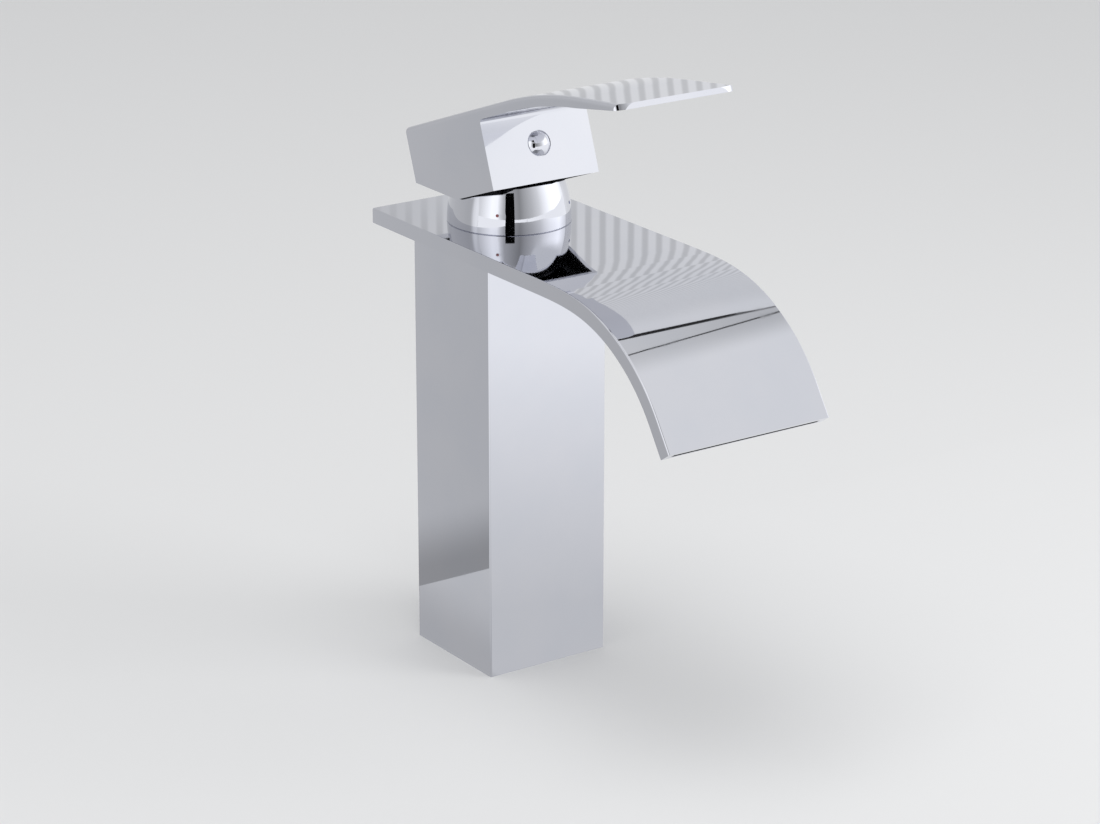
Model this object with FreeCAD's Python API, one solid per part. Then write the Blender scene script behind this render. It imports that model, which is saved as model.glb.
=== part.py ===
import FreeCAD, Part
import math
import os

# Single-lever waterfall basin mixer. Millimetres, +Z up. The origin is the centre of the
# column's foot on the deck, the spout points along -Y, hot is on -X and cold on +X.
# The lever is drawn shut and upright, then lifted to the angle at which water runs.

# ---------------------------------------------------------------- column
COLUMN_WALL = 2.0
COLUMN_EXTRA_WIDTH = 1.5
COLUMN_EDGE_RADIUS = 0.6
FOOT_GASKET_THICKNESS = 3.0

# ---------------------------------------------------------------- spout band
SPOUT_TOP_HEIGHT = 146.2
SPOUT_THICKNESS = 4.8
SPOUT_SIDE_OVERHANG = 7.3
SPOUT_REAR_OVERHANG = 13.8
SPOUT_FLAT_REACH = 58.4
# The bend eases in through three wider arcs; the radii are those of the top skin.
SPOUT_FIRST_EASE_RADIUS = 409.0
SPOUT_FIRST_EASE_ANGLE = 1.05
SPOUT_SECOND_EASE_RADIUS = 136.0
SPOUT_SECOND_EASE_ANGLE = 3.2
SPOUT_THIRD_EASE_RADIUS = 82.0
SPOUT_THIRD_EASE_ANGLE = 5.25
SPOUT_BEND_RADIUS = 60.8
SPOUT_BEND_ANGLE = 46.8
SPOUT_LIP_LENGTH = 10.6
SPOUT_CORNER_RADIUS = 1.0
SPOUT_EDGE_RADIUS = 0.5
SPOUT_SKIN = 1.6
WATER_SLOT_HEIGHT = 1.8
SPOUT_RAIL_WIDTH = 2.8
CHANNEL_END_WALL = 0.6
NUT_RING_WALL = 1.6

# ---------------------------------------------------------------- ceramic cartridge
CARTRIDGE_RADIUS = 17.5
CARTRIDGE_WALL = 1.75
CARTRIDGE_TOP_WALL = 1.6
CARTRIDGE_BASE_FLOOR = 4.8
CARTRIDGE_BASE_RIM = 2.0
CARTRIDGE_BASE_FLANGE = 3.5
SHOULDER_DEPTH = 5.8
COLLAR_RADIUS = 12.5
COLLAR_HEIGHT = 18.0
FIXED_DISC_RADIUS = 13.5
FIXED_DISC_THICKNESS = 3.2
MOVING_DISC_RADIUS = 12.0
MOVING_DISC_THICKNESS = 3.4
MIXING_POCKET_DEPTH = 1.8
MIXING_POCKET_MARGIN = 0.5
MIXING_POCKET_SETBACK = 0.4
MIXING_POCKET_STEP_Y = 5.0
MIXING_POCKET_NECK = 5.0
MIXING_POCKET_RIM = 2.0
CARRIER_RADIUS = 12.2
CARRIER_THICKNESS = 2.9
CARRIER_LUG_WIDTH = 9.8
CARRIER_LUG_LENGTH = 9.0
CARRIER_LUG_HEIGHT = 4.7
ROTOR_RADIUS = 10.95
ROTOR_FLANGE_RADIUS = 13.0
ROTOR_FLANGE_THICKNESS = 1.3
ROTOR_TOP_STAND = 0.6
ROTOR_SLOT_LENGTH = 16.0
STOP_TOOTH_WIDTH = 3.0
STOP_DEPTH = 2.0
SWIVEL_HALF_RANGE = 45.0
PIVOT_ABOVE_SHOULDER = 12.6
BALL_SEAT_DEPTH = 2.5
BALL_RADIUS = 3.0
BALL_ARM_RADIUS = 2.2
PIVOT_PIN_RADIUS = 1.5
STEM_HUB_RADIUS = 4.6
STEM_WIDTH = 8.0
STEM_LENGTH = 24.0
STEM_LEAN_WHEN_SHUT = 12.5
INLET_PORT_RADIUS = 2.5
INLET_PORT_X = 5.5
INLET_PORT_Y = -4.5
OUTLET_PORT_RADIUS = 3.0
OUTLET_PORT_Y = 7.5
PORT_SEAL_SECTION = 1.3
LOCATING_PEG_RADIUS = 1.75
LOCATING_PEG_LENGTH = 2.5
LOCATING_PEG_X = 13.5
LOCATING_PEG_Y = 3.0

# ---------------------------------------------------------------- retaining nut and dome
NUT_LEDGE = 1.0
NUT_NECK_STEP = 0.3
NUT_NECK_HEIGHT = 3.8
NUT_SLOT_WIDTH = 4.0
NUT_SLOT_DEPTH = 1.1
DOME_RING_SECTION = 1.2
DOME_RING_HEIGHT = 1.4
DOME_SKIRT_WALL = 1.8
DOME_PROFILE_RADIUS = 40.0
DOME_HEIGHT = 17.0
DOME_WALL = 1.6
DOME_MOUTH_RADIUS = 11.5
DOME_TOP_ROUND = 4.0
DOME_BASE_BREAK = 0.25
INDEX_DOT_RADIUS = 0.5
INDEX_DOT_DEPTH = 0.6
INDEX_DOT_STAND = 0.1
INDEX_DOT_HEIGHT = 6.4
INDEX_DOT_AZIMUTH = 45.0

# ---------------------------------------------------------------- lever
LEVER_SIDE_WALL = 0.66
LEVER_FRONT_WALL = 3.4
LEVER_REAR_WALL = 2.0
HEEL_HOLLOW_SIDE_WALL = 4.0
LEVER_GAP_ABOVE_SPOUT = 9.3
LEVER_HEIGHT = 26.2
LEVER_HEEL_START = -1.0
LEVER_HEEL_ANGLE = 20.0
LEVER_HEEL_ROUND = 6.0
LEVER_CORNER_RADIUS = 0.7
LEVER_TOP_ROUND = 1.8
LEVER_RIM_WALL = 1.3
LEVER_RIM_DEPTH = 5.0
BLADE_BEND_START = 38.0
BLADE_BEND_RADIUS = 180.0
BLADE_BEND_ANGLE = 13.3
BLADE_TIP_LENGTH = 22.8
BLADE_ROOT_THICKNESS = 3.7
BLADE_KNEE_THICKNESS = 3.1
BLADE_TIP_THICKNESS = 1.8
BLADE_TIP_FLARE = 2.0
BLADE_CORNER_WIDTH = 6.6
BLADE_CORNER_DEPTH = 2.8
BLADE_ROOT_FILLET = 1.5
SOCKET_WALL = 2.2
SOCKET_START = 10.5
SET_SCREW_RADIUS = 2.5
SET_SCREW_LENGTH = 11.0
SET_SCREW_HEX = 2.5
SET_SCREW_ABOVE_PIVOT = 14.65
PLUG_HEAD_RADIUS = 4.0
PLUG_HEAD_HEIGHT = 1.9
PLUG_SHANK_RADIUS = 3.2
PLUG_SHANK_LENGTH = 3.0
PLUG_RECESS_DEPTH = 0.5
LIFT_AT_REST = 20.0

# ---------------------------------------------------------------- valve block, pipes and foot
VALVE_FLOOR = 18.0
GALLERY_DEPTH = 6.0
GALLERY_RADIUS = 2.4
RISER_WALL = 1.2
VALVE_SIDE_WALL = 1.25
SUPPLY_PIPE_RADIUS = 4.0
SUPPLY_PIPE_WALL = 1.0
SUPPLY_PIPE_SOCKET = 5.0
SUPPLY_X = 9.5
SUPPLY_Y = -4.5
FOOT_BLOCK_HEIGHT = 15.0
HOSE_THREAD_RADIUS = 5.0
HOSE_NUT_CLEARANCE = 1.5
STUD_RADIUS = 4.0
STUD_Y = 11.0

# ---------------------------------------------------------------- clamp below the deck
DECK_THICKNESS = 25.0
RUBBER_WASHER_THICKNESS = 3.0
STEEL_WASHER_THICKNESS = 2.0
WASHER_RADIUS = 26.0
STEEL_WASHER_INSET = 1.0
WASHER_MOUTH_WIDTH = 34.0
WASHER_MOUTH_END = 2.0
CLAMP_NUT_ACROSS_FLATS = 13.0
CLAMP_NUT_HEIGHT = 8.0
CLAMP_NUT_CHAMFER = 0.8
STUD_TAIL = 14.0

# ---------------------------------------------------------------- clearances
BORE_CLEARANCE = 0.2
RUNNING_CLEARANCE = 0.05
PIN_CLEARANCE = 0.03
SLIDE_CLEARANCE = 0.1
SOCKET_CLEARANCE = 0.05
DOME_CLEARANCE = 0.45
HEEL_CLEARANCE = 0.93
PLUG_RECESS_CLEARANCE = 0.25

# ---------------------------------------------------------------- worked out from the above
NUT_THREAD_RADIUS = CARTRIDGE_RADIUS + NUT_LEDGE
NUT_NECK_RADIUS = NUT_THREAD_RADIUS - NUT_NECK_STEP
DOME_BASE_RADIUS = NUT_NECK_RADIUS + DOME_SKIRT_WALL
CORE_DEPTH = 2 * (NUT_THREAD_RADIUS + VALVE_SIDE_WALL)
CORE_WIDTH = CORE_DEPTH + COLUMN_EXTRA_WIDTH
COLUMN_DEPTH = CORE_DEPTH + 2 * COLUMN_WALL
COLUMN_WIDTH = CORE_WIDTH + 2 * COLUMN_WALL
SPOUT_WIDTH = COLUMN_WIDTH + 2 * SPOUT_SIDE_OVERHANG
SPOUT_REAR_REACH = COLUMN_DEPTH / 2 + SPOUT_REAR_OVERHANG
RISER_X = CORE_WIDTH / 2 - RISER_WALL - GALLERY_RADIUS
RISER_Y = -(CORE_DEPTH / 2 - RISER_WALL - GALLERY_RADIUS)
COLUMN_HEIGHT = SPOUT_TOP_HEIGHT - SPOUT_THICKNESS
SHOULDER_Z = SPOUT_TOP_HEIGHT - SHOULDER_DEPTH
CHAMBER_TOP_Z = SHOULDER_Z - CARTRIDGE_TOP_WALL
ROTOR_FLANGE_TOP_Z = CHAMBER_TOP_Z - SLIDE_CLEARANCE
ROTOR_FLANGE_Z = ROTOR_FLANGE_TOP_Z - ROTOR_FLANGE_THICKNESS
CARRIER_TOP_Z = ROTOR_FLANGE_Z - SLIDE_CLEARANCE
CARRIER_Z = CARRIER_TOP_Z - CARRIER_THICKNESS
MOVING_DISC_Z = CARRIER_Z - MOVING_DISC_THICKNESS
FIXED_DISC_Z = MOVING_DISC_Z - FIXED_DISC_THICKNESS
SEAT_Z = FIXED_DISC_Z - CARTRIDGE_BASE_FLOOR
HOUSING_Z = SEAT_Z + CARTRIDGE_BASE_FLANGE
COLLAR_TOP_Z = SHOULDER_Z + COLLAR_HEIGHT
ROTOR_TOP_Z = COLLAR_TOP_Z + ROTOR_TOP_STAND
PIVOT_Z = SHOULDER_Z + PIVOT_ABOVE_SHOULDER
BALL_ARM = PIVOT_Z - CARRIER_TOP_Z - CARRIER_LUG_HEIGHT + BALL_SEAT_DEPTH
VALVE_BOTTOM_Z = SEAT_Z - VALVE_FLOOR
FOOT_TOP_Z = FOOT_GASKET_THICKNESS + FOOT_BLOCK_HEIGHT
LEVER_BOTTOM_Z = SPOUT_TOP_HEIGHT + LEVER_GAP_ABOVE_SPOUT
LEVER_TOP_Z = LEVER_BOTTOM_Z + LEVER_HEIGHT
RUBBER_WASHER_Z = -DECK_THICKNESS - RUBBER_WASHER_THICKNESS
STEEL_WASHER_Z = RUBBER_WASHER_Z - STEEL_WASHER_THICKNESS
CLAMP_NUT_Z = STEEL_WASHER_Z - CLAMP_NUT_HEIGHT
STUD_BOTTOM_Z = CLAMP_NUT_Z - STUD_TAIL

X_AXIS = FreeCAD.Vector(1, 0, 0)
Y_AXIS = FreeCAD.Vector(0, 1, 0)
Z_AXIS = FreeCAD.Vector(0, 0, 1)
PIVOT = FreeCAD.Vector(0, 0, PIVOT_Z)


# ---------------------------------------------------------------- shape helpers
def vec(x, y, z):
    return FreeCAD.Vector(x, y, z)


def block(x_low, x_high, y_low, y_high, z_low, z_high):
    """A box between two corners."""
    return Part.makeBox(x_high - x_low, y_high - y_low, z_high - z_low, vec(x_low, y_low, z_low))


def centred_block(width, depth, z_low, z_high, y_centre=0.0):
    """A box centred on X, standing between two heights."""
    return block(-width / 2, width / 2, y_centre - depth / 2, y_centre + depth / 2, z_low, z_high)


def rod(radius, z_low, z_high, x=0.0, y=0.0):
    """An upright cylinder."""
    return Part.makeCylinder(radius, z_high - z_low, vec(x, y, z_low))


def rod_between(radius, start, end):
    """A cylinder from one point to another."""
    run = end - start
    return Part.makeCylinder(radius, run.Length, start, run)


def ring(outer_radius, inner_radius, z_low, z_high, x=0.0, y=0.0):
    """An upright tube."""
    return rod(outer_radius, z_low, z_high, x, y).cut(rod(inner_radius, z_low, z_high, x, y))


def join(shapes):
    """All shapes as one solid, without the seams between them."""
    return shapes[0].fuse(shapes[1:]).removeSplitter()


def face_of(edges):
    return Part.Face(Part.Wire(edges))


def line(start, end):
    return Part.LineSegment(start, end).toShape()


def arc(start, middle, end):
    return Part.Arc(start, middle, end).toShape()


def edges_where(shape, wanted):
    """The edges whose every sampled point satisfies a test."""
    found = []
    for edge in shape.Edges:
        points = edge.discretize(5)
        if all(wanted(point) for point in points):
            found.append(edge)
    return found


def turned(shape, angle):
    """A copy turned about the lift axis; a positive angle lifts the front."""
    copy = shape.copy()
    copy.rotate(PIVOT, X_AXIS, -angle)
    return copy


# ---------------------------------------------------------------- column
def column_shell():
    """The square tube that shows, with softened upright edges."""
    outer = centred_block(COLUMN_WIDTH, COLUMN_DEPTH, 0, COLUMN_HEIGHT)

    def upright(point):
        on_side = abs(abs(point.x) - COLUMN_WIDTH / 2) < 0.01
        on_front = abs(abs(point.y) - COLUMN_DEPTH / 2) < 0.01
        return on_side and on_front

    outer = outer.makeFillet(COLUMN_EDGE_RADIUS, edges_where(outer, upright))
    return outer.cut(column_core(0, COLUMN_HEIGHT))


def column_core(z_low, z_high):
    """What fills the column's inside between two heights."""
    return centred_block(CORE_WIDTH, CORE_DEPTH, z_low, z_high)


def foot_gasket():
    """The soft pad that seals the column's foot to the deck, holed for hoses and stud."""
    pad = column_core(0, FOOT_GASKET_THICKNESS)
    for side in (-1, 1):
        hole = HOSE_THREAD_RADIUS + HOSE_NUT_CLEARANCE
        pad = pad.cut(rod(hole, 0, FOOT_GASKET_THICKNESS, side * SUPPLY_X, SUPPLY_Y))
    return pad.cut(rod(STUD_RADIUS, 0, FOOT_GASKET_THICKNESS, 0, STUD_Y))


def foot_block():
    """The brass plug in the column's foot, tapped for two hoses and the stud."""
    body = column_core(FOOT_GASKET_THICKNESS, FOOT_TOP_Z)
    for side in (-1, 1):
        x = side * SUPPLY_X
        socket_z = FOOT_TOP_Z - SUPPLY_PIPE_SOCKET
        body = body.cut(rod(HOSE_THREAD_RADIUS, FOOT_GASKET_THICKNESS, socket_z, x, SUPPLY_Y))
        body = body.cut(rod(SUPPLY_PIPE_RADIUS, socket_z, FOOT_TOP_Z, x, SUPPLY_Y))
    return body.cut(rod(STUD_RADIUS, FOOT_GASKET_THICKNESS, FOOT_TOP_Z, 0, STUD_Y))


def supply_pipe(side):
    """A copper pipe from the foot block up to the valve block."""
    low = FOOT_TOP_Z - SUPPLY_PIPE_SOCKET
    high = VALVE_BOTTOM_Z + SUPPLY_PIPE_SOCKET
    bore = SUPPLY_PIPE_RADIUS - SUPPLY_PIPE_WALL
    return ring(SUPPLY_PIPE_RADIUS, bore, low, high, side * SUPPLY_X, SUPPLY_Y)


def valve_block():
    """The brass block in the column's head, with the cartridge's bore and the waterways."""
    body = column_core(VALVE_BOTTOM_Z, COLUMN_HEIGHT)
    body = body.cut(rod(CARTRIDGE_RADIUS + BORE_CLEARANCE, SEAT_Z, COLUMN_HEIGHT))
    body = body.cut(rod(NUT_THREAD_RADIUS, SHOULDER_Z, COLUMN_HEIGHT))
    gallery_z = SEAT_Z - GALLERY_DEPTH
    pipe_end_z = VALVE_BOTTOM_Z + SUPPLY_PIPE_SOCKET
    body = body.cut(rod(OUTLET_PORT_RADIUS, gallery_z, SEAT_Z, 0, OUTLET_PORT_Y))
    left_bend = vec(-RISER_X, OUTLET_PORT_Y, gallery_z)
    right_bend = vec(RISER_X, OUTLET_PORT_Y, gallery_z)
    body = body.cut(rod_between(GALLERY_RADIUS, left_bend, right_bend))
    for side in (-1, 1):
        bend = vec(side * RISER_X, OUTLET_PORT_Y, gallery_z)
        foot = vec(side * RISER_X, RISER_Y, gallery_z)
        seat_port = vec(side * INLET_PORT_X, INLET_PORT_Y, SEAT_Z)
        pipe_end = vec(side * SUPPLY_X, SUPPLY_Y, pipe_end_z)
        body = body.cut(Part.makeSphere(GALLERY_RADIUS, bend))
        body = body.cut(rod_between(GALLERY_RADIUS, bend, foot))
        body = body.cut(Part.makeSphere(GALLERY_RADIUS, foot))
        body = body.cut(rod(GALLERY_RADIUS, gallery_z, COLUMN_HEIGHT, foot.x, foot.y))
        body = body.cut(rod_between(INLET_PORT_RADIUS, pipe_end, seat_port))
        body = body.cut(rod(SUPPLY_PIPE_RADIUS, VALVE_BOTTOM_Z, pipe_end_z, pipe_end.x, pipe_end.y))
        body = body.cut(locating_peg(side, LOCATING_PEG_RADIUS + SLIDE_CLEARANCE))
    return body


# ---------------------------------------------------------------- spout
def bend_arcs():
    """The bend's arcs from the plate to the lip: centre, radius, and turn at start and end."""
    y = -SPOUT_FLAT_REACH
    z = SPOUT_TOP_HEIGHT
    start = 0.0
    arcs = []
    steps = [
        (SPOUT_FIRST_EASE_RADIUS, SPOUT_FIRST_EASE_ANGLE),
        (SPOUT_SECOND_EASE_RADIUS, SPOUT_SECOND_EASE_ANGLE),
        (SPOUT_THIRD_EASE_RADIUS, SPOUT_THIRD_EASE_ANGLE),
        (SPOUT_BEND_RADIUS, SPOUT_BEND_ANGLE),
    ]
    for radius, angle in steps:
        end = start + math.radians(angle)
        centre_y = y + radius * math.sin(start)
        centre_z = z - radius * math.cos(start)
        arcs.append((centre_y, centre_z, radius, start, end))
        y = centre_y - radius * math.sin(end)
        z = centre_z + radius * math.cos(end)
        start = end
    return arcs


def bend_point(bend_arc, depth, share):
    """A point on one arc of the bend, a depth below the top skin."""
    centre_y, centre_z, radius, start, end = bend_arc
    turn = start + share * (end - start)
    return centre_y - (radius - depth) * math.sin(turn), centre_z + (radius - depth) * math.cos(turn)


def lip_point(depth, beyond):
    """A point on the straight lip, a length beyond the bend's end."""
    last = bend_arcs()[-1]
    y, z = bend_point(last, depth, 1)
    return y - beyond * math.cos(last[4]), z - beyond * math.sin(last[4])


def below_top_skin(point):
    """How far a point lies below the spout's top skin."""
    if point.y > -SPOUT_FLAT_REACH:
        return SPOUT_TOP_HEIGHT - point.z
    for centre_y, centre_z, radius, start, end in bend_arcs():
        if math.atan2(centre_y - point.y, point.z - centre_z) <= end:
            return radius - math.hypot(point.y - centre_y, point.z - centre_z)
    lip_y, lip_z = lip_point(0, 0)
    return (lip_z - point.z) * math.cos(end) - (lip_y - point.y) * math.sin(end)


def spout_band(half_width, rear_y, depth_high, depth_low):
    """The band between two depths below the spout's top, from rear_y to the lip's end."""
    def at(point):
        return vec(-half_width, point[0], point[1])

    def bend(depth, shares, arcs):
        return [arc(*[at(bend_point(each, depth, share)) for share in shares]) for each in arcs]

    arcs = bend_arcs()
    upper_rear = at((rear_y, SPOUT_TOP_HEIGHT - depth_high))
    lower_rear = at((rear_y, SPOUT_TOP_HEIGHT - depth_low))
    outline = [
        line(upper_rear, at(bend_point(arcs[0], depth_high, 0))),
        *bend(depth_high, (0, 0.5, 1), arcs),
        line(at(lip_point(depth_high, 0)), at(lip_point(depth_high, SPOUT_LIP_LENGTH))),
        line(at(lip_point(depth_high, SPOUT_LIP_LENGTH)), at(lip_point(depth_low, SPOUT_LIP_LENGTH))),
        line(at(lip_point(depth_low, SPOUT_LIP_LENGTH)), at(lip_point(depth_low, 0))),
        *bend(depth_low, (1, 0.5, 0), reversed(arcs)),
        line(at(bend_point(arcs[0], depth_low, 0)), lower_rear),
        line(lower_rear, upper_rear),
    ]
    return face_of(outline).extrude(vec(2 * half_width, 0, 0))


def spout_recess_rear():
    """Where the spout's channel starts, just behind the risers."""
    return RISER_Y + GALLERY_RADIUS + CHANNEL_END_WALL


def spout_channel(depth_high, depth_low):
    """The spout's inner channel, kept clear of the ring that holds the retaining nut."""
    half_width = SPOUT_WIDTH / 2 - SPOUT_RAIL_WIDTH
    channel = spout_band(half_width, spout_recess_rear(), depth_high, depth_low)
    return channel.cut(rod(NUT_THREAD_RADIUS + NUT_RING_WALL, 0, SPOUT_TOP_HEIGHT))


def spout_shell():
    """The polished top plate with its side rails, open below along the channel."""
    band = spout_band(SPOUT_WIDTH / 2, SPOUT_REAR_REACH, 0, SPOUT_THICKNESS)

    def rear_corner(point):
        return point.y > SPOUT_REAR_REACH - 0.01 and abs(point.x) > SPOUT_WIDTH / 2 - 0.01

    band = band.makeFillet(SPOUT_CORNER_RADIUS, edges_where(band, rear_corner))

    def top_rim(point):
        on_side = abs(point.x) > SPOUT_WIDTH / 2 - 0.01
        on_rear = point.y > SPOUT_REAR_REACH - SPOUT_CORNER_RADIUS - 0.01
        return (on_side or on_rear) and abs(below_top_skin(point)) < 0.01

    band = band.makeFillet(SPOUT_EDGE_RADIUS, edges_where(band, top_rim))
    band = band.cut(spout_channel(SPOUT_SKIN, SPOUT_THICKNESS))
    return band.cut(rod(NUT_THREAD_RADIUS, COLUMN_HEIGHT, SPOUT_TOP_HEIGHT))


def spout_liner():
    """The plate let into the spout's underside, which closes the channel from below."""
    plate = spout_channel(SPOUT_SKIN + WATER_SLOT_HEIGHT, SPOUT_THICKNESS)
    for side in (-1, 1):
        plate = plate.cut(rod(GALLERY_RADIUS, COLUMN_HEIGHT, SPOUT_TOP_HEIGHT, side * RISER_X, RISER_Y))
    return plate


# ---------------------------------------------------------------- cartridge
def locating_peg(side, radius):
    x = side * LOCATING_PEG_X
    return rod(radius, SEAT_Z - LOCATING_PEG_LENGTH, SEAT_Z, x, LOCATING_PEG_Y)


def port_places():
    """Each port's place and radius: hot, cold and mixed."""
    return [
        (-INLET_PORT_X, INLET_PORT_Y, INLET_PORT_RADIUS),
        (INLET_PORT_X, INLET_PORT_Y, INLET_PORT_RADIUS),
        (0.0, OUTLET_PORT_Y, OUTLET_PORT_RADIUS),
    ]


def port_seals():
    """Three rubber rings between the cartridge's base and its seat."""
    rings = []
    for x, y, radius in port_places():
        inner = radius + SLIDE_CLEARANCE
        rings.append(ring(inner + PORT_SEAL_SECTION, inner, SEAT_Z, SEAT_Z + PORT_SEAL_SECTION, x, y))
    return Part.makeCompound(rings)


def cartridge_base():
    """The lower plastic half: three ports, two locating pegs and a seat for the fixed disc."""
    spigot_radius = CARTRIDGE_RADIUS - CARTRIDGE_WALL
    body = join([
        rod(CARTRIDGE_RADIUS, SEAT_Z, HOUSING_Z),
        rod(spigot_radius, HOUSING_Z, FIXED_DISC_Z + CARTRIDGE_BASE_RIM),
        locating_peg(-1, LOCATING_PEG_RADIUS),
        locating_peg(1, LOCATING_PEG_RADIUS),
    ])
    body = body.cut(rod(FIXED_DISC_RADIUS, FIXED_DISC_Z, FIXED_DISC_Z + CARTRIDGE_BASE_RIM))
    for x, y, radius in port_places():
        body = body.cut(rod(radius, SEAT_Z, FIXED_DISC_Z, x, y))
        groove = radius + SLIDE_CLEARANCE + PORT_SEAL_SECTION
        body = body.cut(rod(groove, SEAT_Z, SEAT_Z + PORT_SEAL_SECTION, x, y))
    return body


def fixed_disc():
    """The ceramic disc that stays put, pierced by the three ports."""
    disc = rod(FIXED_DISC_RADIUS, FIXED_DISC_Z, MOVING_DISC_Z)
    for x, y, radius in port_places():
        disc = disc.cut(rod(radius, FIXED_DISC_Z, MOVING_DISC_Z, x, y))
    return disc


def carrier_offset():
    """How far the carrier stands from the axis at rest, set by the stem's lean."""
    lean = math.radians(LIFT_AT_REST - STEM_LEAN_WHEN_SHUT)
    return -BALL_ARM * math.sin(lean)


def moving_disc():
    """The ceramic disc that slides and turns; its pocket joins the inlets to the outlet."""
    disc = rod(MOVING_DISC_RADIUS, MOVING_DISC_Z, CARRIER_Z)
    top = MOVING_DISC_Z + MIXING_POCKET_DEPTH
    front = INLET_PORT_Y + MIXING_POCKET_SETBACK
    step = MIXING_POCKET_STEP_Y
    rear = MOVING_DISC_RADIUS - MIXING_POCKET_RIM
    half_width = INLET_PORT_X + INLET_PORT_RADIUS + MIXING_POCKET_MARGIN
    disc = disc.cut(block(-half_width, half_width, front, step, MOVING_DISC_Z, top))
    disc = disc.cut(block(-MIXING_POCKET_NECK, MIXING_POCKET_NECK, step, rear, MOVING_DISC_Z, top))
    disc.translate(vec(0, carrier_offset(), 0))
    return disc


def disc_carrier():
    """The slider that carries the moving disc, with a pocket for the stem's ball."""
    lug_top = CARRIER_TOP_Z + CARRIER_LUG_HEIGHT
    body = join([
        rod(CARRIER_RADIUS, CARRIER_Z, CARRIER_TOP_Z),
        centred_block(CARRIER_LUG_WIDTH, CARRIER_LUG_LENGTH, CARRIER_TOP_Z, lug_top),
    ])
    pocket_z = PIVOT_Z - BALL_ARM - BALL_RADIUS - SLIDE_CLEARANCE
    body = body.cut(rod(BALL_RADIUS + SLIDE_CLEARANCE, pocket_z, lug_top))
    body.translate(vec(0, carrier_offset(), 0))
    return body


def cartridge_rotor():
    """The turning guide in the collar: it carries the pivot pin and turns the carrier."""
    slot_half_width = CARRIER_LUG_WIDTH / 2 + SLIDE_CLEARANCE
    slot_half_length = ROTOR_SLOT_LENGTH / 2
    tooth_radius = COLLAR_RADIUS - RUNNING_CLEARANCE
    tooth_half = STOP_TOOTH_WIDTH / 2
    tooth_z = COLLAR_TOP_Z - STOP_DEPTH + SLIDE_CLEARANCE
    tooth = rod(tooth_radius, tooth_z, ROTOR_TOP_Z).common(
        block(-tooth_half, tooth_half, 0, tooth_radius, tooth_z, ROTOR_TOP_Z))
    body = join([
        rod(ROTOR_FLANGE_RADIUS, ROTOR_FLANGE_Z, ROTOR_FLANGE_TOP_Z),
        rod(ROTOR_RADIUS, ROTOR_FLANGE_TOP_Z, ROTOR_TOP_Z),
        tooth,
    ])
    body = body.cut(block(-slot_half_width, slot_half_width, -slot_half_length, slot_half_length,
                          ROTOR_FLANGE_Z, ROTOR_TOP_Z))
    return body.cut(pivot_pin())


def pivot_pin():
    """The steel pin on which the stem rocks."""
    half_length = ROTOR_RADIUS - 0.6
    return rod_between(PIVOT_PIN_RADIUS, vec(-half_length, 0, PIVOT_Z), vec(half_length, 0, PIVOT_Z))


def cartridge_housing():
    """The upper plastic half: a cup, and a collar in which the rotor turns."""
    collar_bore = ROTOR_RADIUS + RUNNING_CLEARANCE
    body = join([
        rod(CARTRIDGE_RADIUS, HOUSING_Z, SHOULDER_Z),
        rod(COLLAR_RADIUS, SHOULDER_Z, COLLAR_TOP_Z),
    ])
    body = body.cut(rod(CARTRIDGE_RADIUS - CARTRIDGE_WALL, HOUSING_Z, CHAMBER_TOP_Z))
    body = body.cut(rod(collar_bore, CHAMBER_TOP_Z, COLLAR_TOP_Z))
    return body.cut(stop_notch(collar_bore))


def stop_notch(collar_bore):
    """The gap in the collar's rim in which the rotor's stop tooth swings."""
    notch_z = COLLAR_TOP_Z - STOP_DEPTH
    half_tooth = math.degrees(math.asin((STOP_TOOTH_WIDTH / 2 + SLIDE_CLEARANCE) / collar_bore))
    half_angle = SWIVEL_HALF_RANGE + half_tooth
    sector = Part.makeCylinder(COLLAR_RADIUS + 1, STOP_DEPTH, vec(0, 0, notch_z), Z_AXIS, 2 * half_angle)
    sector.rotate(vec(0, 0, 0), Z_AXIS, 90 - half_angle)
    return sector.cut(rod(collar_bore / 2, notch_z, COLLAR_TOP_Z))


def stem():
    """The cartridge's lever: a ball below the pivot and a square shank above it."""
    half_hub = CARRIER_LUG_WIDTH / 2
    ball_z = PIVOT_Z - BALL_ARM
    hub = rod_between(STEM_HUB_RADIUS, vec(-half_hub, 0, PIVOT_Z), vec(half_hub, 0, PIVOT_Z))
    body = join([
        Part.makeSphere(BALL_RADIUS, vec(0, 0, ball_z)),
        rod(BALL_ARM_RADIUS, ball_z, PIVOT_Z),
        hub,
        centred_block(STEM_WIDTH, STEM_WIDTH, PIVOT_Z, PIVOT_Z + STEM_LENGTH),
    ])
    hole = PIVOT_PIN_RADIUS + PIN_CLEARANCE
    body = body.cut(rod_between(hole, vec(-half_hub, 0, PIVOT_Z), vec(half_hub, 0, PIVOT_Z)))
    return turned(body, LIFT_AT_REST - STEM_LEAN_WHEN_SHUT)


# ---------------------------------------------------------------- nut and dome
def retaining_nut():
    """The brass nut that presses the cartridge down and carries the dome."""
    neck_top = SPOUT_TOP_HEIGHT + NUT_NECK_HEIGHT
    body = join([
        rod(NUT_THREAD_RADIUS, SHOULDER_Z, SPOUT_TOP_HEIGHT),
        rod(NUT_NECK_RADIUS, SPOUT_TOP_HEIGHT, neck_top),
    ])
    body = body.cut(rod(COLLAR_RADIUS + SLIDE_CLEARANCE, SHOULDER_Z, neck_top))
    half_slot = NUT_SLOT_WIDTH / 2
    slot_z = neck_top - NUT_SLOT_DEPTH
    body = body.cut(block(-NUT_NECK_RADIUS, NUT_NECK_RADIUS, -half_slot, half_slot, slot_z, neck_top))
    body = body.cut(block(-half_slot, half_slot, -NUT_NECK_RADIUS, NUT_NECK_RADIUS, slot_z, neck_top))
    return body.cut(dome_ring())


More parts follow.
